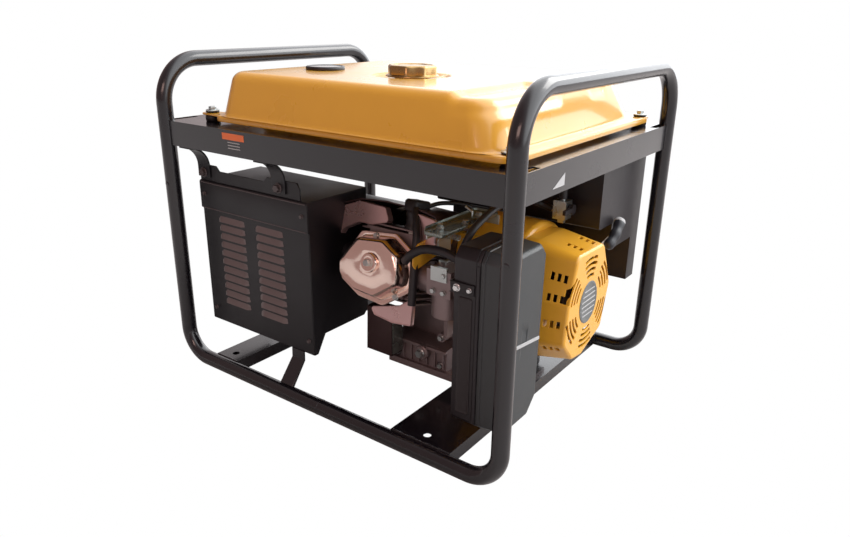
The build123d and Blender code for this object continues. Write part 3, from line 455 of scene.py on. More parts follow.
def make_frame():
    for name, side in (("frame_hoop_recoil_end", -1), ("frame_hoop_alternator_end", 1)):
        x = side * HOOP_X
        points = [
            (0, -HOOP_Y, TUBE), (x, -HOOP_Y, TUBE), (x, -HOOP_Y, HOOP_TOP),
            (x, HOOP_Y, HOOP_TOP), (x, HOOP_Y, TUBE), (0, HOOP_Y, TUBE),
        ]
        bm = bmesh.new()
        path = arc_path(points, [LOW_BEND, TOP_BEND, TOP_BEND, LOW_BEND], radians(4))
        add_tube(bm, path, TUBE - 0.00005, 36)
        finish_piece(name + "_tube", bm, "frame_paint", replaces=(name,), smooth=60)
    bm = bmesh.new()
    for y in (-HOOP_Y, HOOP_Y):
        add_lathe(bm, [(TUBE - 0.001, -0.002), (TUBE + 0.0002, -0.0012), (TUBE + 0.0002, 0.0012),
                       (TUBE - 0.001, 0.002)],
                  Vector((0, y, TUBE)), ALONG_X, 36)
    for x in (-HOOP_X, HOOP_X):
        for y in (-HOOP_Y, HOOP_Y):
            for z in (0.330,):
                way = Vector((0, 1 if y > 0 else -1, 0))
                add_lathe(bm, [(0, 0), (0.0042, 0), (0.0042, 0.0006), (0.0030, 0.0012), (0, 0.0012)],
                          Vector((x, y, z)) + way * (TUBE - 0.0007), aim(way), 16)
    finish_piece("frame_joint_rings_and_plugs", bm, "frame_paint", smooth=50)
    make_welds()


def make_welds():
    """Weld beads where the rails and cross rails meet the tubes."""
    bm = bmesh.new()
    bead = 0.0019
    for x in (-HOOP_X, HOOP_X):
        for y in (-HOOP_Y, HOOP_Y):
            inward_x, inward_y = (-1 if x > 0 else 1), (-1 if y > 0 else 1)
            for way in (Vector((inward_x, 0, 0)), Vector((0, inward_y, 0))):
                side = Vector((way.y, way.x, 0))
                for k in (-1, 1):
                    foot = Vector((x, y, 0)) + way * (TUBE * 0.93) + side * k * TUBE * 0.30
                    if abs(foot.x) > RAIL_X or abs(foot.y) > RAIL_Y:
                        continue
                    path = [foot + Vector((0, 0, RAIL_LOW + t)) for t in (0.001, 0.008, 0.02, 0.032, 0.039)]
                    add_tube(bm, path, [bead * 0.5, bead, bead * 0.9, bead, bead * 0.5], 8)
    for node in ("cross_rail_engine", "cross_rail_alternator"):
        low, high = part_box(node)
        for y in (-HOOP_Y, HOOP_Y):
            inward = -1 if y > 0 else 1
            path = []
            for k in range(9):
                x = low.x + 0.002 + (high.x - low.x - 0.004) * k / 8
                path.append(Vector((x, y + inward * 0.0066, 0.0243)))
            add_tube(bm, path, [bead * (0.8 + 0.2 * (k % 2)) for k in range(9)], 8)
    finish_piece("weld_beads", bm, "frame_paint", smooth=80)


# ---------------------------------------------------------------- fuel tank
TANK_SEAM, TANK_TOP = 0.450, 0.517
FOOT = (-0.292, 0.233, -0.204, 0.234, 0.042)
CROWN = (-0.258, 0.221, -0.182, 0.214, 0.032)
CORNER_STEPS = 12
SIDE_STEPS = (64, 56)


def ring_points(sides, z):
    """A rounded rectangle as a dense ring; sides are low x, high x, low y, high y, corner radius."""
    x0, x1, y0, y1, r = sides
    corners = [(x1 - r, y1 - r, 0), (x0 + r, y1 - r, 90), (x0 + r, y0 + r, 180), (x1 - r, y0 + r, 270)]
    points = []
    for index, (cx, cy, begin) in enumerate(corners):
        for k in range(CORNER_STEPS + 1):
            a = radians(begin + 90 * k / CORNER_STEPS)
            points.append(Vector((cx + r * cos(a), cy + r * sin(a), z)))
        nx, ny, begin_next = corners[(index + 1) % 4]
        a = radians(begin_next)
        end = Vector((nx + r * cos(a), ny + r * sin(a), z))
        start = points[-1].copy()
        count = SIDE_STEPS[index % 2]
        for k in range(1, count):
            points.append(start.lerp(end, k / count))
    return points


def moved_in(sides, amount, least=0.001):
    x0, x1, y0, y1, r = sides
    return (x0 + amount, x1 - amount, y0 + amount, y1 - amount, max(least, r - amount))


def between(a, b, t):
    return tuple(p + (q - p) * t for p, q in zip(a, b))


def tank_relief(point):
    """How far the pressed top drops at a place: a step at one end and a pan round the cap."""
    high = smoothstep(0.484, 0.506, point.z)
    end = smoothstep(0.205, 0.216, -point.x)
    side = smoothstep(0.020, 0.036, point.y)
    slot = smoothstep(-0.128, -0.118, point.y) * smoothstep(0.066, 0.076, -point.y)
    away = Vector((point.x + 0.033, point.y - 0.062)).length
    pan = 0.0045 * smoothstep(0.062, 0.054, away)
    return high * (end * (0.0065 * side + 0.0045 * slot) + pan)


def make_tank():
    rings = []
    pan = (-0.268, 0.196, -0.188, 0.188, 0.040)
    lip = (-0.310, 0.241, -0.235, 0.235, 0.026)
    for inset, z in ((0.060, 0.405), (0.008, 0.405), (0.002, 0.4065), (0.0, 0.410), (0.0, 0.444)):
        rings.append(ring_points(moved_in(pan, inset, 0.02), z))
    for inset, z in ((0.006, 0.4475), (0.0022, 0.4470), (0.0018, 0.4420), (0.0010, 0.4410), (0.0002, 0.4414)):
        rings.append(ring_points(moved_in(lip, inset), z))
    for inset, z in ((0.0, 0.4430), (0.0, 0.4472), (0.0008, 0.4490), (0.0024, 0.4500)):
        rings.append(ring_points(moved_in(lip, inset), z))
    root = 0.003
    rings.append(ring_points(moved_in(FOOT, -root), TANK_SEAM))
    rings.append(ring_points(moved_in(FOOT, -root * 0.3), TANK_SEAM + root * 0.3))
    fillet = 0.013
    for k in range(13):
        t = 0.03 + (1 - fillet / (TANK_TOP - TANK_SEAM) - 0.03) * k / 12
        rings.append(ring_points(between(FOOT, CROWN, t), TANK_SEAM + t * (TANK_TOP - TANK_SEAM)))
    base = between(FOOT, CROWN, 1 - fillet / (TANK_TOP - TANK_SEAM))
    for k in range(1, 8):
        a = pi / 2 * k / 7
        inset = fillet * (1 - cos(a)) + 0.004 * sin(a)
        rings.append(ring_points(moved_in(base, inset), TANK_TOP - fillet + fillet * sin(a)))
    edge = moved_in(base, fillet + 0.004)
    middle = (-0.060, 0.002, 0.008, 0.022, 0.004)
    for k in range(1, 46):
        rings.append(ring_points(between(edge, middle, k / 45), TANK_TOP))
    bm = bmesh.new()
    skins = []
    for ring in rings:
        row = []
        for point in ring:
            moved = point.copy()
            moved.z -= tank_relief(point) if point.z > 0.484 else 0.0
            row.append(bm.verts.new(moved))
        skins.append(row)
    skin_rings(bm, skins)
    finish_piece("fuel_tank_shell", bm, "tank_paint", replaces=("fuel_tank",), smooth=50)
    make_tank_trim()


def make_tank_trim():
    bm = bmesh.new()
    for x, y in TANK_EARS:
        away = 1 if x > 0 else -1
        outline = [(x + away * 0.015, y - 0.013), (x + away * 0.015, y + 0.013),
                   (x - away * 0.075, y + 0.019),
                   (x - away * 0.075, y - 0.019)]
        if away < 0:
            outline.reverse()
            outline = [(x - 0.012, y - 0.014), (x + 0.030, y - 0.014), (x + 0.030, y + 0.014),
                       (x - 0.012, y + 0.014)]
        add_prism(bm, rounded_outline(outline, 0.009), Vector((0, 0, TANK_SEAM - 0.0028)), Matrix.Identity(3),
                  0.0026)
    finish_piece("tank_ears", bm, "tank_paint", bevel=0.0005)
    bm = bmesh.new()
    for x, y in TANK_EARS:
        for low, high, r in ((RAIL_TOP, TANK_SEAM - 0.003, 0.0115), (TANK_SEAM, TANK_SEAM + 0.003, 0.0105)):
            bulge = [(0, low), (r - 0.001, low), (r, low + 0.0008), (r + 0.0006, (low + high) / 2)]
            bulge += [(r, high - 0.0008), (r - 0.001, high), (0, high)]
            add_lathe(bm, bulge, Vector((x, y, 0)), segments=28)
    finish_piece("tank_rubbers", bm, "rubber", replaces=("tank_grommets",), smooth=60)
    bm = bmesh.new()
    for x, y in TANK_EARS:
        add_bolt(bm, Vector((x, y, TANK_SEAM + 0.003)), (0, 0, 1), 0.0105, 2.1)
    finish_piece("tank_bolt_heads", bm, "zinc_steel", replaces=("tank_bolts",))


TANK_EARS = [(-0.297, 0.214), (-0.297, -0.214), (0.261, 0.214), (0.261, -0.214)]
CAP_LOBES = 8


def make_cap_and_gauge():
    low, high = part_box("fuel_cap")
    middle = (low + high) / 2
    bm = bmesh.new()
    rings = []
    profile = [(0.0300, 0.0000, 0), (0.0345, 0.0000, 0), (0.0345, -0.0050, 0), (0.0402, -0.0052, 0),
               (0.0410, -0.0046, 0),
               (0.0408, -0.0034, 0), (0.0392, -0.0026, 0.2), (0.0382, -0.0014, 1), (0.0384, 0.0086, 1),
               (0.0378, 0.0104, 1),
               (0.0362, 0.0116, 0.9), (0.0340, 0.0120, 0.7), (0.0318, 0.0118, 0.3), (0.0300, 0.0106, 0),
               (0.0150, 0.0105, 0),
               (0.0080, 0.0107, 0)]
    for radius, height, lobed in profile:
        ring = []
        for k in range(192):
            a = 2 * pi * k / 192
            wave = (0.5 + 0.5 * cos(CAP_LOBES * a)) ** 0.7
            r = radius - 0.0030 * lobed * wave
            ring.append(bm.verts.new(Vector((middle.x + r * cos(a), middle.y + r * sin(a), low.z + height))))
        rings.append(ring)
    skin_rings(bm, rings)
    finish_piece("fuel_cap_shell", bm, "cap_metal", "cap", ("fuel_cap",), smooth=45)

    low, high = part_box("fuel_gauge")
    centre = (low + high) / 2
    base = Vector((centre.x, centre.y, low.z))
    bm = bmesh.new()
    profile = [(0, 0), (0.0316, 0), (0.0320, 0.0005), (0.0320, 0.0042), (0.0312, 0.0054), (0.0300, 0.0060),
               (0.0275, 0.0060), (0.0266, 0.0054), (0.0264, 0.0022), (0, 0.0020)]
    add_lathe(bm, profile, base, segments=72)
    finish_piece("fuel_gauge_case", bm, "black_plastic", replaces=("fuel_gauge",), smooth=40)
    bm = bmesh.new()
    for k in range(9):
        a = pi / 2 * k / 8
        r0, r1 = (0.0170, 0.0240) if k % 4 == 0 else (0.0205, 0.0240)
        way, side = Vector((cos(a), sin(a), 0)), Vector((-sin(a), cos(a), 0))
        wide = 0.0009 if k % 4 == 0 else 0.0005
        outline = [way * r0 - side * wide, way * r1 - side * wide, way * r1 + side * wide,
                   way * r0 + side * wide]
        add_prism(bm, [(p.x, p.y) for p in outline], base + Vector((0, 0, 0.0019)), Matrix.Identity(3),
                  0.0004)
    finish_piece("gauge_marks", bm, "white_mark")
    bm = bmesh.new()
    add_lathe(bm, [(0, 0.0049), (0.0263, 0.0049), (0.0263, 0.0053), (0.016, 0.0058), (0, 0.0059)], base,
              segments=64)
    finish_piece("gauge_lens", bm, "clear_lens", smooth=60)


# ---------------------------------------------------------------- muffler guard
GUARD_LOW, GUARD_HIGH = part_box("muffler_shield")
BAND_Z = 0.286
LOUVRE_COLUMNS = ((0.102, 0.168), (0.194, 0.260))


def make_guard():
    """The louvred guard: folded panels with two lips and rows of pressed louvres."""
    x0, x1 = GUARD_LOW.x, GUARD_HIGH.x
    y0, y1 = GUARD_LOW.y, GUARD_HIGH.y
    z0, z1 = GUARD_LOW.z, GUARD_HIGH.z
    t = 0.0015
    bm = bmesh.new()
    # back panel below the band, as strips that leave the louvre slots open
    levels = [0.118 + 0.015 * row for row in range(11)]
    back = y1 - 0.0035
    cuts = sorted([z0, BAND_Z] + [z for level in levels for z in (level, level + 0.0035)])
    columns = [x0 + 0.002, LOUVRE_COLUMNS[0][0], LOUVRE_COLUMNS[0][1], LOUVRE_COLUMNS[1][0],
               LOUVRE_COLUMNS[1][1], x1 - 0.002]
    for c in (0, 2, 4):
        add_box(bm, (columns[c] / MM, (back - t) / MM, z0 / MM),
                (columns[c + 1] / MM, back / MM, BAND_Z / MM))
    for c in (1, 3):
        for z_low, z_high in zip(cuts[::2], cuts[1::2]):
            add_box(bm, (columns[c] / MM, (back - t) / MM, z_low / MM),
                    (columns[c + 1] / MM, back / MM, z_high / MM))
    finish_piece("guard_back_panel", bm, "heat_paint", replaces=("muffler_shield",))

    # the louvres take the lighter copy of the guard paint: a painted highlight on their upward faces
    bm = bmesh.new()
    for x_low, x_high in LOUVRE_COLUMNS:
        for z in levels:
            add_louvre(bm, x_low, x_high, back, z)
    finish_piece("guard_louvres", bm, "louvre_painted_highlight", smooth=50)

    # the band at the top, its folded lips, the ends and the top sheet
    bm = bmesh.new()
    profile = [(y0, z1 - t), (y0, z1), (y1 - 0.004, z1), (y1 - 0.0012, z1 - 0.0012), (y1, z1 - 0.004),
               (y1, BAND_Z + 0.002),
               (y1 - 0.0008, BAND_Z), (back - 0.0002, BAND_Z - 0.001), (back - 0.0002, BAND_Z + 0.0012),
               (y1 - t, BAND_Z + 0.003), (y1 - t, z1 - 0.005), (y1 - 0.005, z1 - t)]
    add_prism(bm, profile, Vector((x0, 0, 0)), ALONG_X, x1 - x0)
    finish_piece("guard_top_band", bm, "heat_paint", bevel=0.0004)
    # rods along the two folds in the lighter copy of the guard paint: a painted highlight on the folded edges
    bm = bmesh.new()
    for z in (BAND_Z + 0.0010, z1 - 0.0035):
        path = [Vector((x0 + 0.004, y1 - 0.0006, z)), Vector((x1 - 0.004, y1 - 0.0006, z))]
        add_tube(bm, path, 0.0011, 10)
    finish_piece("guard_fold_edges", bm, "heat_paint_highlight", smooth=70)
    bm = bmesh.new()
    for x, low_z in ((x0, 0.108), (x1 - t, z0)):
        outline = [(y0, low_z + 0.010), (y0 + 0.010, low_z), (y1 - 0.030, low_z), (y1 - 0.012, z0),
                   (y1 - 0.0036, z0),
                   (y1 - 0.0036, BAND_Z), (y1 - 0.002, BAND_Z + 0.003), (y1 - 0.002, z1 - 0.004),
                   (y1 - 0.006, z1 - 0.0016),
                   (y0, z1 - 0.0016)]
        add_prism(bm, outline, Vector((x, 0, 0)), ALONG_X, t)
    finish_piece("guard_end_panels", bm, "heat_paint", bevel=0.0005)
    bm = bmesh.new()
    fold = [(y1 - 0.012, z0), (y1 - 0.0036, z0), (y1 - 0.0036, z0 + 0.0016),
            (y1 - 0.012, z0 + 0.0016)]
    add_prism(bm, fold, Vector((x0, 0, 0)), ALONG_X, x1 - x0)
    finish_piece("guard_lower_fold", bm, "heat_paint", bevel=0.0004)
    # the screw heads take the lighter copy of the guard paint: painted highlight
    bm = bmesh.new()
    for x in (x0 + 0.012, x1 - 0.012):
        for z in (0.312, 0.100):
            add_bolt(bm, Vector((x, y1 - (0 if z > BAND_Z else 0.0035), z)), (0, 1, 0), 0.0055, 1.4)
    finish_piece("guard_screws", bm, "heat_paint_highlight")


def add_louvre(bm, x_low, x_high, back, z):
    """One pressed hood: closed at its top and ends, open below, standing out of the panel."""
    out, tall, lip = 0.0042, 0.0115, 0.0007
    columns = 12
    rows = [(0.0, 1.0), (0.10, 0.82), (0.55, 0.42), (0.92, 0.10), (1.0, 0.0)]
    shells = []
    for shrink in (0.0, lip):
        grid = []
        for k in range(columns + 1):
            u = k / columns
            end = min(1.0, min(u, 1 - u) / 0.07)
            end = end * (2 - end)
            x = x_low + (x_high - x_low) * u
            line = []
            for depth, height in rows:
                y = back - 0.0004 + max(0.0, (out * end - shrink)) * depth
                line.append(bm.verts.new(Vector((x, y,
                                                 z - 0.0005 + tall * height - shrink * (height > 0.2)))))
            grid.append(line)
        shells.append(grid)
    outer, inner = shells
    for grid in shells:
        for a, b in zip(grid, grid[1:]):
            for i in range(len(rows) - 1):
                bm.faces.new((a[i], a[i + 1], b[i + 1], b[i]))
    for i in (0, len(rows) - 1):
        for k in range(columns):
            bm.faces.new((outer[k][i], outer[k + 1][i], inner[k + 1][i], inner[k][i]))
    for k in (0, columns):
        for i in range(len(rows) - 1):
            bm.faces.new((outer[k][i], outer[k][i + 1], inner[k][i + 1], inner[k][i]))


def make_guard_brackets():
    plate_low = GUARD_HIGH.z
    face = 0.221
    bm = bmesh.new()
    outline = [(0.060, plate_low - 0.001), (0.300, plate_low - 0.001), (0.300, 0.352), (0.294, 0.362),
               (0.258, 0.362),
               (0.250, 0.354), (0.140, 0.354), (0.132, 0.362), (0.066, 0.362), (0.060, 0.352)]
    along_y = Matrix(((1, 0, 0), (0, 0, 1), (0, 1, 0)))
    add_prism(bm, outline, Vector((0, 0.218, 0)), along_y, 0.003)
    finish_piece("guard_fixing_plate", bm, "heat_paint", replaces=("muffler_brackets",), bevel=0.0006)
    bend = RAIL_Y - 0.002 - face
    for index, x in enumerate((0.104, 0.286)):
        bm = bmesh.new()
        outer = [(face + bend * (1 - cos(a)),
                  RAIL_LOW - bend + bend * sin(a)) for a in [pi / 2 * k / 14 for k in range(15)]]
        t = 0.003
        inner = [(face + bend - (bend - t) * cos(a), RAIL_LOW - bend + (bend - t) * sin(a))
                 for a in [pi / 2 * k / 14 for k in range(15)]]
        profile = [(face, plate_low + 0.006)] + outer + list(reversed(inner)) + [(face + t,
                                                                                  plate_low + 0.006)]
        add_prism(bm, profile, Vector((x - 0.015, 0, 0)), ALONG_X, 0.030)
        finish_piece(f"guard_hanger_{index + 1}", bm, "heat_paint", bevel=0.0006)
    # the hanger bolt heads take the lighter copy of the guard paint: painted highlight
    bm = bmesh.new()
    for x in (0.104, 0.286):
        add_bolt(bm, Vector((x, face + 0.003, 0.349)), (0, 1, 0), 0.011, 1.5)
    finish_piece("guard_hanger_bolts", bm, "heat_paint_highlight")
    bm = bmesh.new()
    profile = [(0.2485, 0.0228), (0.2535, 0.0258), (0.2240, 0.0620), (0.2235, 0.0780), (0.2205, 0.0780),
               (0.2208, 0.0608)]
    add_prism(bm, profile, Vector((0.066, 0, 0)), ALONG_X, 0.028)
    finish_piece("guard_lower_strap", bm, "frame_paint", bevel=0.0006)


# ---------------------------------------------------------------- cylinder head
FLANGE = [(21, -14), (15, -40), (-27, -61), (-78, -65), (-125, -32), (-127, -12), (-116, 26), (-80, 47),
          (-13, 40)]
DOME = Vector((-60.0, -2.0))
FLANGE_S = 190.0


def head_ring(bm, scale, radius, s, drop=0.0):
    """One ring of the rocker cover: the flange's outline scaled about its middle."""
    outline = rounded_outline([tuple(DOME + (Vector(p) - DOME) * scale) for p in FLANGE], radius, 7)
    return [bm.verts.new(tilted(x, s - drop * max(0.0, -(v - 6)) * 0.01, v)) for x, v in outline]


def make_rocker_cover():
    bm = bmesh.new()
    s = FLANGE_S
    rings = [
        head_ring(bm, 0.90, 12, s), head_ring(bm, 0.985, 12, s), head_ring(bm, 1.0, 12, s + 0.8),
        head_ring(bm, 1.0, 12, s + 2.6), head_ring(bm, 0.985, 12, s + 3.6), head_ring(bm, 0.93, 12, s + 3.7),
        head_ring(bm, 0.885, 13, s + 3.2), head_ring(bm, 0.862, 14, s + 4.2), head_ring(bm, 0.850, 14, s + 7),
        head_ring(bm, 0.800, 15, s + 19), head_ring(bm, 0.776, 15, s + 24.5),
        head_ring(bm, 0.745, 15, s + 27.6),
        head_ring(bm, 0.690, 15, s + 29.6, 6), head_ring(bm, 0.60, 15, s + 30.4, 9),
        head_ring(bm, 0.45, 12, s + 30.9, 9),
        head_ring(bm, 0.32, 9, s + 30.9, 6), head_ring(bm, 0.26, 7, s + 29.6, 3),
        head_ring(bm, 0.24, 7, s + 29.4),
    ]
    skin_rings(bm, rings)
    # the cover and its boss are chrome tinted salmon: partly a painted pink reflection
    finish_piece("rocker_cover_shell", bm, "chrome_pink_reflection", replaces=("rocker_cover",), smooth=32)
    bm = bmesh.new()
    turn = aim(CYLINDER_WAY)
    place = tilted(DOME.x, s, DOME.y)
    profile = [(0, 0.029), (0.0150, 0.029), (0.0152, 0.0326), (0.0140, 0.0345), (0.0105, 0.0352),
               (0.0090, 0.0346),
               (0.0078, 0.0346), (0, 0.0346)]
    add_lathe(bm, profile, place, turn, 40)
    finish_piece("rocker_cover_boss", bm, "chrome_pink_reflection", replaces=("rocker_cover_bolt",), smooth=35)
    bm = bmesh.new()
    add_bolt(bm, place + CYLINDER_WAY * 0.0343, CYLINDER_WAY, 0.0095, 1.1)
    for x, v in ((11, -27), (-100, -47), (-118, 8), (-44, 38)):
        inward = DOME + (Vector((x, v)) - DOME) * 0.985
        add_bolt(bm, tilted(inward.x, s + 3.4, inward.y), CYLINDER_WAY, 0.0075, 1.35)
    finish_piece("rocker_cover_screws", bm, "zinc_steel")


def add_sheet(bm, outline, s, thick, corner, lip=0.0):
    """A thin sheet square to the cylinder, given as (x, v) in millimetres, with an optional lip."""
    shape = rounded_outline(outline, corner, 5)
    rings = []
    for depth, inset in ((-lip, 0.0), (0.0, 0.0), (thick, 0.9), (thick, 1.6), (thick - 0.9, 2.2)):
        moved = grown(shape, inset)
        rings.append([bm.verts.new(tilted(x, s + depth, v)) for x, v in moved])
    skin_rings(bm, rings)


# name, outline (x, v), place along the cylinder, thickness, corner, lip, replaced nodes; all in millimetres
SHROUD_SHEETS = (
    ("shroud_sheet_left", [(38, 34), (58, -6), (66, 22), (58, 66), (14, 84), (-40, 82), (-52, 60),
                           (-20, 50), (8, 50)], 176, 2.2, 6, 10, ("cylinder_shroud",)),
    ("shroud_sheet_right", [(-102, 84), (-142, 78), (-146, 40), (-130, 30), (-112, 36), (-108, 56)],
     184, 2.0, 6, 8, ()),
    ("shroud_sheet_lower", [(-50, -72), (-104, -58), (-128, -40), (-132, -84), (-96, -88), (-60, -84)],
     186, 2.2, 4, 5, ()),
)


def make_shrouds():
    """Bright pressed sheets round the head, and the dark duct over it."""
    # the sheets are polished metal tinted pink: partly a painted pink reflection
    for name, outline, s, thick, corner, lip, replaced in SHROUD_SHEETS:
        bm = bmesh.new()
        add_sheet(bm, outline, s, thick, corner, lip)
        finish_piece(name, bm, "bright_sheet_pink_reflection", replaces=replaced, smooth=40)
    bm = bmesh.new()
    arc = [(60, 64), (40, 78), (10, 88), (-40, 92), (-100, 90), (-134, 84), (-148, 70)]
    outer = [[bm.verts.new(tilted(x, s, v)) for x, v in arc] for s in (44, 180)]
    inner = [[bm.verts.new(tilted(x, s, v - 2.2)) for x, v in arc] for s in (44, 180)]
    last = len(arc) - 1
    for i in range(last):
        bm.faces.new((outer[0][i], outer[0][i + 1], outer[1][i + 1], outer[1][i]))
        bm.faces.new((inner[0][i], inner[1][i], inner[1][i + 1], inner[0][i + 1]))
        bm.faces.new((outer[1][i], outer[1][i + 1], inner[1][i + 1], inner[1][i]))
        bm.faces.new((outer[0][i], inner[0][i], inner[0][i + 1], outer[0][i + 1]))
    for i in (0, last):
        bm.faces.new((outer[0][i], outer[1][i], inner[1][i], inner[0][i]))
    finish_piece("shroud_top_duct", bm, "plum_sheet", smooth=50)
    make_head_fins()


def make_head_fins():
    bm = bmesh.new()
    for v in range(-54, 58, 9):
        outline = rounded_outline([(-122, 118), (-122, 176), (6, 176), (6, 118)], 8, 4)
        low = [bm.verts.new(tilted(x, s, v - 1.1)) for x, s in outline]
        high = [bm.verts.new(tilted(x, s, v + 1.1)) for x, s in outline]
        bm.faces.new(low)
        bm.faces.new(list(reversed(high)))
        for i in range(len(outline)):
            j = (i + 1) % len(outline)
            bm.faces.new((low[j], low[i], high[i], high[j]))
    finish_piece("head_fins", bm, "cast_aluminium", smooth=40)


def make_plug_cap():
    bm = bmesh.new()
    up = aim(tilted(0, 0, 1) - tilted(0, 0, 0))
    place = tilted(-86, 163, 56)
    profile = [(0, 0), (0.0120, 0), (0.0126, 0.004), (0.0112, 0.006), (0.0112, 0.018), (0.0128, 0.021),
               (0.0128, 0.028),
               (0.0112, 0.031), (0.0112, 0.040), (0.0090, 0.046), (0, 0.047)]
    add_lathe(bm, profile, place, up, 28)
    finish_piece("plug_cap_boot", bm, "rubber", replaces=("spark_plug_cap",), smooth=45)
    bm = bmesh.new()
    outline = rounded_outline([(-98, 137), (-98, 182), (-74, 182), (-74, 137)], 7, 4)
    rings = []
    for v, inset in ((83, 2.5), (85, 0.5), (98, 0), (101, 2.0), (102, 4.5)):
        rings.append([bm.verts.new(tilted(x, s, v)) for x, s in grown(outline, inset)])
    skin_rings(bm, rings)
    finish_piece("plug_cap_elbow", bm, "rubber", smooth=40)
    make_lead("dark_side_hose", [tilted(-96, 176, 88), tilted(-116, 192, 66), tilted(-124, 197, 12),
                                 tilted(-128, 190, -52)],
              0.0062)


# ---------------------------------------------------------------- crankcase and carburettor
CASE_BOLTS = ((-128, 106, 116), (-40, 106, 66), (-128, 106, 66), (-134, 98, 188))


def make_case_details():
    bm = bmesh.new()
    for x in (-134, -118, -102, -86, -70, -54, -38):
        add_box(bm, (x - 1.6, 104.5, 60), (x + 1.6, 110, 94))
    add_box(bm, (-141, 104, 90), (-26, 112, 95.5))
    add_box(bm, (-139, 64, 120), (-132, 106, 176))
    finish_piece("case_ribs", bm, "cast_aluminium", bevel=0.0012)
    bm = bmesh.new()
    add_lathe(bm, [(0, 0), (0.0125, 0), (0.0125, 0.012), (0.0105, 0.014), (0, 0.014)], mm(-96, 104, 84),
              aim((0, 1, 0)), 28)
    for x, y, z in CASE_BOLTS:
        add_lathe(bm, [(0, -0.02), (0.008, -0.02), (0.0075, 0.0), (0, 0.0)], mm(x, y, z), aim((0, 1, 0)), 20)
    finish_piece("case_bosses", bm, "cast_aluminium", smooth=40)
    bm = bmesh.new()
    add_bolt(bm, mm(-96, 118, 84), (0, 1, 0), 0.012, 1.3)
    for x, y, z in CASE_BOLTS:
        add_bolt(bm, mm(x, y, z), (0, 1, 0), 0.008, 1.3)
    for y in (-80, 80):
        add_bolt(bm, mm(-193, y, 58.0), (0, 0, 1), 0.013, 1.5)
    finish_piece("case_bolts", bm, "zinc_steel")
    make_lead("engine_wire_1", [mm(-138, 110, 261), mm(-152, 118, 246), mm(-146, 132, 214),
                                mm(-138, 126, 186),
                                mm(-130, 114, 160)], 0.0022)
    make_lead("engine_wire_2", [mm(-134, 108, 272), mm(-141, 110, 240), mm(-136, 116, 206),
                                mm(-128, 108, 178)], 0.0022)
    bm = bmesh.new()
    add_prism(bm, rounded_outline([(0.116, 0.271), (0.150, 0.271), (0.150, 0.300), (0.120, 0.300)], 0.006),
              mm(-150, 0, 0),
              ALONG_X, 0.002)
    add_box(bm, (-166, 128, 270.5), (-128, 146, 273))
    add_box(bm, (-186, 176, 246), (-158, 180, 268))
    for x, y, z in ((-180, 178, 256), (-162, 178, 230), (-180, 178, 230)):
        add_bolt(bm, mm(x, y, z), (0, 1, 0), 0.007, 1.2)
    finish_piece("carburettor_brackets", bm, "zinc_steel", bevel=0.0003)
    bm = bmesh.new()
    for turn_count in range(9):
        a0 = turn_count * 2 * pi
        path = [mm(-176 + (turn_count + k / 8) * 4.2, 132 + 4 * cos(a0 + k * pi / 4),
                   300 + 4 * sin(a0 + k * pi / 4))
                for k in range(9)]
        add_tube(bm, path, 0.0007, 6)
    add_tube(bm, [mm(-180, 132, 300), mm(-186, 128, 300)], 0.0008, 6)
    finish_piece("governor_spring", bm, "zinc_steel", smooth=60)


def make_governor():
    """The control plate with its folded rim, and the yellow sheet that runs beside it."""
    bm = bmesh.new()
    plate = [(-190, 50), (-184, 44), (-150, 44), (-145, 50), (-145, 176), (-158, 198), (-190, 198)]
    rings = []
    for z, inset in ((318.0, 1.5), (319.0, 0.6), (322.6, 0.0), (323.4, 0.5), (323.4, 1.6), (320.4, 2.0),
                     (320.0, 3.0)):
        rings.append([bm.verts.new(mm(x, y, z)) for x, y in grown(rounded_outline(plate, 5, 4), inset)])
    skin_rings(bm, rings)
    finish_piece("governor_plate", bm, "green_zinc", replaces=("governor_bracket",), smooth=40)
    bm = bmesh.new()
    add_box(bm, (-148, 60, 304), (-146.5, 176, 318))
    add_box(bm, (-189, 44, 303), (-146, 45.5, 318))
    for x, y in ((-168, 70), (-176, 118), (-160, 160)):
        add_bolt(bm, mm(x, y, 320), (0, 0, 1), 0.009, 1.4)
    add_tube(bm, [mm(-172, 96, 323), mm(-172, 96, 332), mm(-160, 96, 338)], 0.002, 10)
    finish_piece("governor_fittings", bm, "zinc_steel", bevel=0.0004)
    bm = bmesh.new()
    arm = rounded_outline([(0.040, 0.278), (0.176, 0.252), (0.184, 0.262), (0.182, 0.284), (0.170, 0.292),
                           (0.040, 0.304)],
                          0.008)
    add_prism(bm, arm, mm(-129.4, 0, 0), ALONG_X, 0.0022)
    finish_piece("yellow_side_plate", bm, "shroud_paint", bevel=0.0007)
    bm = bmesh.new()
    for y, z in ((172, 278), (60, 290)):
        add_bolt(bm, mm(-129.4, y, z), (-1, 0, 0), 0.0045, 1.2)
    finish_piece("side_plate_bolts", bm, "zinc_steel")


def make_lower_duct():
    bm = bmesh.new()
    add_box(bm, (-54, 112.5, 74), (-52.4, 141, 152))
    add_box(bm, (-54, 139.4, 74), (-2, 141, 152))
    add_box(bm, (-3.6, 112.5, 74), (-2, 141, 152))
    add_box(bm, (-54, 112.5, 74), (-2, 114, 152))
    finish_piece("lower_duct_walls", bm, "plum_sheet", replaces=("lower_duct",), bevel=0.0006)
    # a pale grey-green plate over the duct's -X face: painted light, making that face lighter than the plum walls
    bm = bmesh.new()
    add_box(bm, (-55.2, 114, 76), (-54.1, 139, 150))
    for y in (119, 134):
        add_bolt(bm, mm(-55.2, y, 144), (-1, 0, 0), 0.005, 1.3)
    finish_piece("lower_duct_lit_face", bm, "green_zinc", bevel=0.0004)


# ---------------------------------------------------------------- air cleaner
CLEANER_Y = (118.0, 217.0)
CLEANER_Z = (58.0, 320.0)
CLEANER_X = (-311.0, -222.0)
CLEANER_SEAM = -265.0


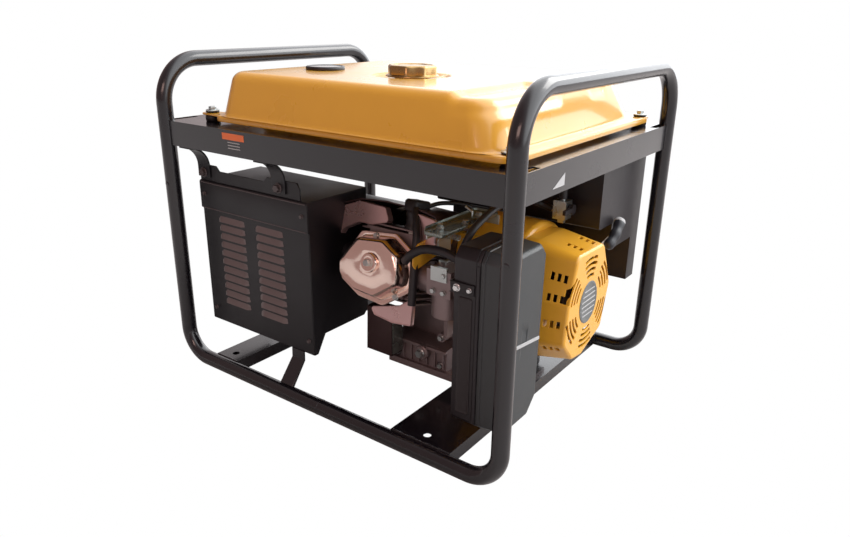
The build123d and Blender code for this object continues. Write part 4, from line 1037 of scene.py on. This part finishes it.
def cleaner_outline(inset):
    low_y, high_y = CLEANER_Y[0] + inset, CLEANER_Y[1] - inset
    low_z, high_z = CLEANER_Z[0] + inset, CLEANER_Z[1] - inset
    points = [(low_y, low_z + 22), (low_y + 22, low_z), (high_y - 6, low_z), (high_y, low_z + 6),
              (high_y, high_z - 14),
              (high_y - 11, high_z), (low_y + 10, high_z), (low_y, high_z - 10)]
    return rounded_outline(points, 5, 5)


def cleaner_ring(bm, x, inset, drop=None):
    ring = []
    for y, z in cleaner_outline(inset):
        ring.append(bm.verts.new(mm(x - (drop(y, z) if drop else 0.0), y, z)))
    return ring


def make_air_cleaner():
    bm = bmesh.new()
    seam, back = CLEANER_SEAM, CLEANER_X[1]
    profile = [(seam + 2.0, 3.0), (seam + 0.6, 1.2), (seam + 0.6, 0.3), (seam + 1.4, 0.0), (seam + 5, 0.0),
               (seam + 5.6, 0.8),
               (seam + 6.4, 0.8), (seam + 7, 0.2), (back - 4, 0.4), (back - 1.2, 1.6), (back, 4.0)]
    skin_rings(bm, [cleaner_ring(bm, x, inset) for x, inset in profile])
    finish_piece("cleaner_base_shell", bm, "black_plastic", replaces=("air_cleaner_base",), smooth=38)
    bm = bmesh.new()
    panel = rounded_outline([(seam + 11, 74), (back - 9, 74), (back - 9, 252), (seam + 11, 252)], 4, 4)
    rings = []
    for depth, inset in ((-0.6, 0.0), (1.0, 0.6), (1.4, 1.6), (0.9, 2.6), (0.8, 3.4)):
        rings.append([bm.verts.new(mm(x, CLEANER_Y[1] + depth - 0.3, z)) for x, z in grown(panel, inset)])
    skin_rings(bm, rings)
    finish_piece("cleaner_base_panel", bm, "dark_panel", smooth=40)
    bm = bmesh.new()
    add_box(bm, (seam + 8, CLEANER_Y[1] - 1, 256), (back + 3, CLEANER_Y[1] + 2.4, 272))
    add_box(bm, (back + 0.5, 186, 256), (back + 3, CLEANER_Y[1] + 2.4, 272))
    finish_piece("cleaner_strap", bm, "rubber", bevel=0.0012)
    bm = bmesh.new()
    add_bolt(bm, mm(back - 8, CLEANER_Y[1] + 2.4, 264), (0, 1, 0), 0.0075, 1.5)
    add_bolt(bm, mm(back - 28, CLEANER_Y[1] + 2.4, 264), (0, 1, 0), 0.0055, 1.3)
    finish_piece("cleaner_strap_bolts", bm, "bright_metal")
    bm = bmesh.new()
    add_box(bm, (seam + 1, CLEANER_Y[1] - 1.5, 66), (seam + 5.4, CLEANER_Y[1] + 1.2, 300))
    finish_piece("cleaner_seam_rib", bm, "black_plastic", bevel=0.0008)
    make_cleaner_cover()


def cover_relief(y, z):
    """The cover's face: a swelling that ends in a diagonal crease, and a lower field."""
    diagonal = (z - 208) - 0.55 * (y - 167)
    return 1.6 - 2.0 * smoothstep(-3.0, 4.0, -diagonal)


def make_cleaner_cover():
    bm = bmesh.new()
    seam, front = CLEANER_SEAM, CLEANER_X[0]
    profile = [(seam, 2.5), (seam - 0.4, 0.4), (seam - 1.2, 0.0), (seam - 6, 0.0), (seam - 6.6, 0.8),
               (seam - 7.4, 0.8),
               (seam - 8, 0.2), (front + 9, 1.6), (front + 5, 3.0), (front + 3.0, 5.0)]
    rings = [cleaner_ring(bm, x, inset) for x, inset in profile]
    middle = (sum(CLEANER_Y) / 2, sum(CLEANER_Z) / 2)
    rim = cleaner_outline(6.5)
    for k in range(30):
        share = 1 - k / 30.5
        ring = []
        for y, z in rim:
            y, z = middle[0] + (y - middle[0]) * share, middle[1] + (z - middle[1]) * share
            ring.append(bm.verts.new(mm(front + 2.2 - cover_relief(y, z), y, z)))
        rings.append(ring)
    skin_rings(bm, rings)
    finish_piece("cleaner_cover_shell", bm, "grey_plastic", "cleaner_cover", ("air_cleaner_cover",),
                 smooth=32)
    bm = bmesh.new()
    for y, z in ((160, CLEANER_Z[1] - 0.6), (196, CLEANER_Z[0] + 0.2)):
        way = 1 if z > 200 else -1
        add_box(bm, (seam - 14, y - 7, min(z, z + way * 3.2)), (seam - 2, y + 7, max(z, z + way * 3.2)))
    finish_piece("cleaner_clips", bm, "black_plastic", "cleaner_cover", bevel=0.0008)
    bm = bmesh.new()
    strip = [(126, 176), (206, 186), (206, 191), (126, 181)]
    add_prism(bm, [(y * MM, z * MM) for y, z in strip], mm(front + 0.4, 0, 0), ALONG_X, 0.0016)
    finish_piece("cleaner_cover_strip", bm, "pale_strip", "cleaner_cover", bevel=0.0004)


# ---------------------------------------------------------------- recoil starter and fan housing
RECOIL_CENTRE = (-0.003, 0.194)


def make_recoil_details():
    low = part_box("recoil_cover")[0]
    cy, cz = RECOIL_CENTRE
    bm = bmesh.new()
    rings = []
    for out, grow in ((-0.0015, 1.0), (0.0004, 1.0), (0.0010, 0.96), (0.0010, 0.90), (0.0004, 0.86),
                      (0.0004, 0.5)):
        ring = []
        for k in range(64):
            a = -2 * pi * k / 64
            ring.append(bm.verts.new(Vector((low.x - out, cy + 0.031 * grow * cos(a),
                                             cz + 0.034 * grow * sin(a)))))
        rings.append(ring)
    skin_rings(bm, rings)
    finish_piece("recoil_badge", bm, "badge_grey", smooth=40)
    bm = bmesh.new()
    for k in range(6):
        z = cz - 0.020 + 0.008 * k
        half = 0.024 * (1 - ((z - cz) / 0.040) ** 2)
        add_prism(bm, [(cy - half, z - 0.0009), (cy + half, z - 0.0009), (cy + half, z + 0.0009),
                       (cy - half, z + 0.0009)],
                  Vector((low.x - 0.0008, 0, 0)), ALONG_X, 0.0005)
    finish_piece("recoil_badge_lines", bm, "pale_strip")
    bm = bmesh.new()
    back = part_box("recoil_cover")[1].x
    for k in range(3):
        a = radians(60 + 120 * k)
        place = Vector((back - 0.006, cy + 0.101 * cos(a), cz + 0.101 * sin(a)))
        add_lathe(bm, [(0, -0.004), (0.007, -0.004), (0.007, 0.006), (0, 0.006)], place, aim((-1, 0, 0)), 20)
    finish_piece("recoil_ears", bm, "shroud_paint", smooth=40)
    bm = bmesh.new()
    for k in range(3):
        a = radians(60 + 120 * k)
        place = Vector((back - 0.012, cy + 0.101 * cos(a), cz + 0.101 * sin(a)))
        add_bolt(bm, place, (-1, 0, 0), 0.008, 1.4)
    finish_piece("recoil_bolts", bm, "zinc_steel")
    for node in ("recoil_cover", "fan_housing"):
        soften(NODES[node], 0.0008, 35)


def make_grip():
    """The T-grip: a bowed, rubber-skinned bar, with a pale cap at its upper end as a painted highlight on its end
    face.
    """
    low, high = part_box("recoil_handle")
    middle = (low + high) / 2
    way = Vector((0, -sin(radians(53)), cos(radians(53))))
    bow = Vector((-1, 0, 0))
    path, radii = [], []
    for k in range(25):
        t = k / 24 * 2 - 1
        path.append(middle + way * (0.030 * t) + bow * (0.0035 * (1 - t * t) - 0.002))
        end = max(0.0, abs(t) - 0.82) / 0.18
        radii.append(0.0092 * max(0.12, max(0.0, 1 - end ** 2) ** 0.5) * (0.92 + 0.08 * cos(t * 9)))
    bm = bmesh.new()
    add_tube(bm, path, radii, 24)
    finish_piece("starter_grip_bar", bm, "grip_rubber", "starter_grip", ("recoil_handle",), smooth=60)
    # the pale cap on the upper end is a painted highlight where the end face catches light
    bm = bmesh.new()
    tip = middle + way * 0.0255 - bow * 0.0012
    add_lathe(bm, [(0, -0.002), (0.0094, -0.002), (0.0095, 0.0015), (0.0082, 0.0042), (0.0045, 0.0058),
                   (0, 0.0062)],
              tip, aim(way), 24)
    finish_piece("starter_grip_end_highlight", bm, "pale_strip", "starter_grip", smooth=60)
    make_rope()


def make_rope():
    """The stretch of starter rope at the eyelet."""
    start, end = mm(-300, -72, 252), mm(-308, -106, 269)
    rings = 96
    path = [start.lerp(end, k / (rings - 1)) for k in range(rings)]
    bm = bmesh.new()
    add_tube(bm, path, [0.0023 + 0.0002 * (k % 2) for k in range(rings)], 12)
    piece = finish_piece("starter_rope", bm, "rope", body=None, replaces=("recoil_rope",), smooth=60)
    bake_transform(piece)


# ---------------------------------------------------------------- front side, alternator and labels
# x, z and radius of the two meters on the panel, in millimetres
PANEL_DIALS = ((-200, 330, 32), (-110, 330, 26))


def make_panel():
    x0, x1 = -302.0, 12.0
    face = -255.0
    bm = bmesh.new()
    for x in (x0 + 10, x1 - 10):
        for z in (170, 380):
            add_screw(bm, mm(x, face, z), (0, -1, 0), 0.0045)
    finish_piece("panel_screws", bm, "zinc_steel", smooth=40)
    bm = bmesh.new()
    for x, z, r in PANEL_DIALS:
        add_lathe(bm, [(0, 0), (r * MM, 0), (r * MM, 0.004), ((r - 1.2) * MM, 0.0055), ((r - 4) * MM, 0.0055),
                       ((r - 5) * MM, 0.002), (0, 0.002)], mm(x, face, z), aim((0, -1, 0)), 56)
    finish_piece("panel_dials", bm, "black_plastic", smooth=40)
    bm = bmesh.new()
    for x, z, r in PANEL_DIALS:
        add_lathe(bm, [(0, 0.0018), ((r - 5) * MM, 0.0018), ((r - 5) * MM, 0.0026), (0, 0.0026)],
                  mm(x, face, z),
                  aim((0, -1, 0)), 48)
    finish_piece("panel_dial_faces", bm, "white_mark", smooth=40)
    bm = bmesh.new()
    for x, z, r in PANEL_DIALS:
        for k in range(11):
            a = radians(210 - 24 * k)
            way = Vector((cos(a), 0, sin(a)))
            side = Vector((-sin(a), 0, cos(a))) * 0.0005
            base = mm(x, face - 2.6, z)
            corners = [base + way * (r - 12) * MM - side, base + way * (r - 7) * MM - side,
                       base + way * (r - 7) * MM + side, base + way * (r - 12) * MM + side]
            add_plate(bm, corners, Vector((0, -0.0004, 0)))
        add_plate(bm, [mm(x - 1.2, face - 2.9, z - 2), mm(x + 1.2, face - 2.9, z - 2),
                       mm(x + r * 0.5, face - 2.9, z + r * 0.42)],
                  Vector((0, -0.0005, 0)))
    finish_piece("panel_dial_marks", bm, "rubber")
    bm = bmesh.new()
    for x in (-90, -20):
        for dx, dz, r in ((0, 8, 2.6), (-7, -5, 2.6), (7, -5, 2.6)):
            add_lathe(bm, [(0, 0), (r * MM, 0), (r * MM, 0.0006), (0, 0.0006)], mm(x + dx, -250.2, 225 + dz),
                      aim((0, -1, 0)), 18)
    finish_piece("socket_holes", bm, "rubber")
    bm = bmesh.new()
    add_bolt(bm, mm(-40, face, 178), (0, -1, 0), 0.012, 1.7)
    add_lathe(bm, [(0, 0), (0.006, 0), (0.006, 0.007), (0, 0.007)], mm(-240, face, 330), aim((0, -1, 0)), 20)
    finish_piece("earth_terminal", bm, "zinc_steel")
    bm = bmesh.new()
    add_lathe(bm, [(0, 0), (0.0055, 0), (0.0055, 0.003), (0.004, 0.0055), (0, 0.0062)], mm(-262, face, 290),
              aim((0, -1, 0)), 20)
    finish_piece("pilot_lamp", bm, "red_plastic", smooth=60)
    for node in ("control_box", "panel_plate"):
        soften(NODES[node], 0.0016, 35)


def add_plate(bm, corners, thick):
    """A flat plate through corners, given its thickness as a vector."""
    low = [bm.verts.new(p) for p in corners]
    high = [bm.verts.new(p + thick) for p in corners]
    bm.faces.new(low)
    bm.faces.new(list(reversed(high)))
    for i in range(len(corners)):
        j = (i + 1) % len(corners)
        bm.faces.new((low[j], low[i], high[i], high[j]))


def make_alternator():
    y, z = CRANK.y, CRANK.z
    bm = bmesh.new()
    profile = []
    for k in range(56):
        x = 0.024 + 0.179 * k / 56
        profile += [(0.0880, x), (0.0880, x + 0.0022), (0.0872, x + 0.0024), (0.0872, x + 0.0030)]
    profile = [(0.080, 0.024)] + profile + [(0.080, 0.203)]
    add_lathe(bm, profile, Vector((0, y, z)), ALONG_X, 72)
    finish_piece("stator_laminations", bm, "dark_steel", smooth=30)
    bm = bmesh.new()
    for k in range(4):
        a = radians(45 + 90 * k)
        path = [Vector((x, y + 0.0905 * cos(a), z + 0.0905 * sin(a))) for x in (-0.006, 0.208)]
        add_tube(bm, path, 0.0035, 12)
    finish_piece("stator_tie_rods", bm, "zinc_steel", smooth=60)
    for node in ("alternator_end_cover", "crankcase_cover", "crankcase", "muffler"):
        soften(NODES[node], 0.0009, 35)


def make_labels():
    """Blank stickers: an orange patch with three pale bars on the back rail, and a pale wedge on the end rail."""
    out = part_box("side_rail_back")[1].y
    bm = bmesh.new()
    add_plate(bm, [Vector((x, out, z)) for x, z in ((0.184, 0.421), (0.134, 0.421), (0.134, 0.431),
                                                    (0.184, 0.431))],
              Vector((0, 0.0003, 0)))
    finish_piece("orange_sticker", bm, "orange_patch")
    bm = bmesh.new()
    for k in range(3):
        z = 0.4165 - 0.0045 * k
        add_plate(bm, [Vector((0.172, out, z)), Vector((0.144, out, z)), Vector((0.144, out, z + 0.0012)),
                       Vector((0.172, out, z + 0.0012))], Vector((0, 0.0003, 0)))
    finish_piece("sticker_bars", bm, "pale_strip")
    end = -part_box("end_rail_alternator")[1].x
    bm = bmesh.new()
    add_plate(bm, [Vector((end, 0.168, 0.404)), Vector((end, 0.136, 0.404)), Vector((end, 0.136, 0.420))],
              Vector((-0.0003, 0, 0)))
    finish_piece("end_sticker", bm, "pale_strip")


def soften_rails():
    for node in ("side_rail_back", "side_rail_front", "end_rail_recoil", "end_rail_alternator",
                 "cross_rail_engine",
                 "cross_rail_alternator", "fuel_cock", "carburetor", "oil_dipstick", "breaker_lever",
                 "engine_switch",
                 "socket_flap", "ac_sockets"):
        soften(NODES[node], 0.0008, 35)


# ---------------------------------------------------------------- stage
LIGHT_SIDE = Vector((-0.50, -0.78, 0.38)).normalized()


def make_world():
    """A bright window wall on one side, a dim warm room on the other and a plain white backdrop."""
    world = bpy.data.worlds.new("studio")
    world.use_nodes = True
    nodes, links = world.node_tree.nodes, world.node_tree.links
    nodes.clear()
    way = nodes.new("ShaderNodeTexCoord")
    dot = nodes.new("ShaderNodeVectorMath")
    dot.operation = "DOT_PRODUCT"
    dot.inputs[1].default_value = LIGHT_SIDE
    links.new(way.outputs["Generated"], dot.inputs[0])
    ramp = nodes.new("ShaderNodeValToRGB")
    stops = ramp.color_ramp
    stops.interpolation = "EASE"
    stops.elements[0].position = 0.0
    stops.elements[0].color = (0.105, 0.075, 0.072, 1)
    stops.elements[1].position = 1.0
    stops.elements[1].color = (0.95, 0.97, 1.0, 1)
    for position, colour in ((0.38, (0.110, 0.078, 0.076, 1)), (0.56, (0.17, 0.145, 0.145, 1)),
                             (0.78, (0.75, 0.76, 0.78, 1))):
        stop = stops.elements.new(position)
        stop.color = colour
    shift = nodes.new("ShaderNodeMapRange")
    shift.inputs["From Min"].default_value = -1.0
    shift.inputs["From Max"].default_value = 1.0
    links.new(dot.outputs["Value"], shift.inputs["Value"])
    links.new(shift.outputs["Result"], ramp.inputs["Fac"])
    room = nodes.new("ShaderNodeBackground")
    room.inputs["Strength"].default_value = 3.2
    links.new(ramp.outputs["Color"], room.inputs["Color"])
    backdrop = nodes.new("ShaderNodeBackground")
    backdrop.inputs["Color"].default_value = (1, 1, 1, 1)
    backdrop.inputs["Strength"].default_value = 1.0
    ray = nodes.new("ShaderNodeLightPath")
    pick = nodes.new("ShaderNodeMixShader")
    links.new(ray.outputs["Is Camera Ray"], pick.inputs["Fac"])
    links.new(room.outputs["Background"], pick.inputs[1])
    links.new(backdrop.outputs["Background"], pick.inputs[2])
    out = nodes.new("ShaderNodeOutputWorld")
    links.new(pick.outputs["Shader"], out.inputs["Surface"])
    bpy.context.scene.world = world


def make_floor():
    bm = bmesh.new()
    bmesh.ops.create_grid(bm, x_segments=1, y_segments=1, size=12.0)
    mesh = bpy.data.meshes.new("floor")
    bm.to_mesh(mesh)
    bm.free()
    floor = bpy.data.objects.new("floor", mesh)
    bpy.context.scene.collection.objects.link(floor)
    material, nodes, links, shader = new_material("floor")
    shader.inputs["Base Color"].default_value = (0.42, 0.40, 0.39, 1)
    shader.inputs["Roughness"].default_value = 0.9
    glow = nodes.new("ShaderNodeEmission")
    glow.inputs["Color"].default_value = (1, 1, 1, 1)
    glow.inputs["Strength"].default_value = 1.0
    ray = nodes.new("ShaderNodeLightPath")
    pick = nodes.new("ShaderNodeMixShader")
    links.new(ray.outputs["Is Camera Ray"], pick.inputs["Fac"])
    links.new(shader.outputs["BSDF"], pick.inputs[1])
    links.new(glow.outputs["Emission"], pick.inputs[2])
    links.new(pick.outputs["Shader"], nodes["Material Output"].inputs["Surface"])
    floor.data.materials.append(material)


def lamp(name, place, target, size, power, colour):
    data = bpy.data.lights.new(name, "AREA")
    data.shape = "RECTANGLE"
    data.size, data.size_y = size
    data.energy = power
    data.color = colour
    light = bpy.data.objects.new(name, data)
    light.location = place
    light.rotation_euler = (Vector(target) - Vector(place)).to_track_quat("-Z", "Y").to_euler()
    bpy.context.scene.collection.objects.link(light)


def make_stage():
    make_world()
    make_floor()
    centre = (0, 0, 0.3)
    lamp("window", (-1.3, -2.2, 2.3), centre, (2.2, 1.6), 55, (1.0, 0.98, 0.95))
    lamp("room", (-0.7, 2.4, 1.5), centre, (1.2, 0.7), 10, (1.0, 0.66, 0.58))
    bpy.context.scene.view_settings.view_transform = "Standard"


make_camera()
paint_cad()
make_frame()
make_tank()
make_cap_and_gauge()
make_guard()
make_guard_brackets()
make_rocker_cover()
make_shrouds()
make_plug_cap()
make_case_details()
make_governor()
make_lower_duct()
make_air_cleaner()
make_recoil_details()
make_grip()
make_panel()
make_alternator()
make_labels()
soften_rails()
make_stage()
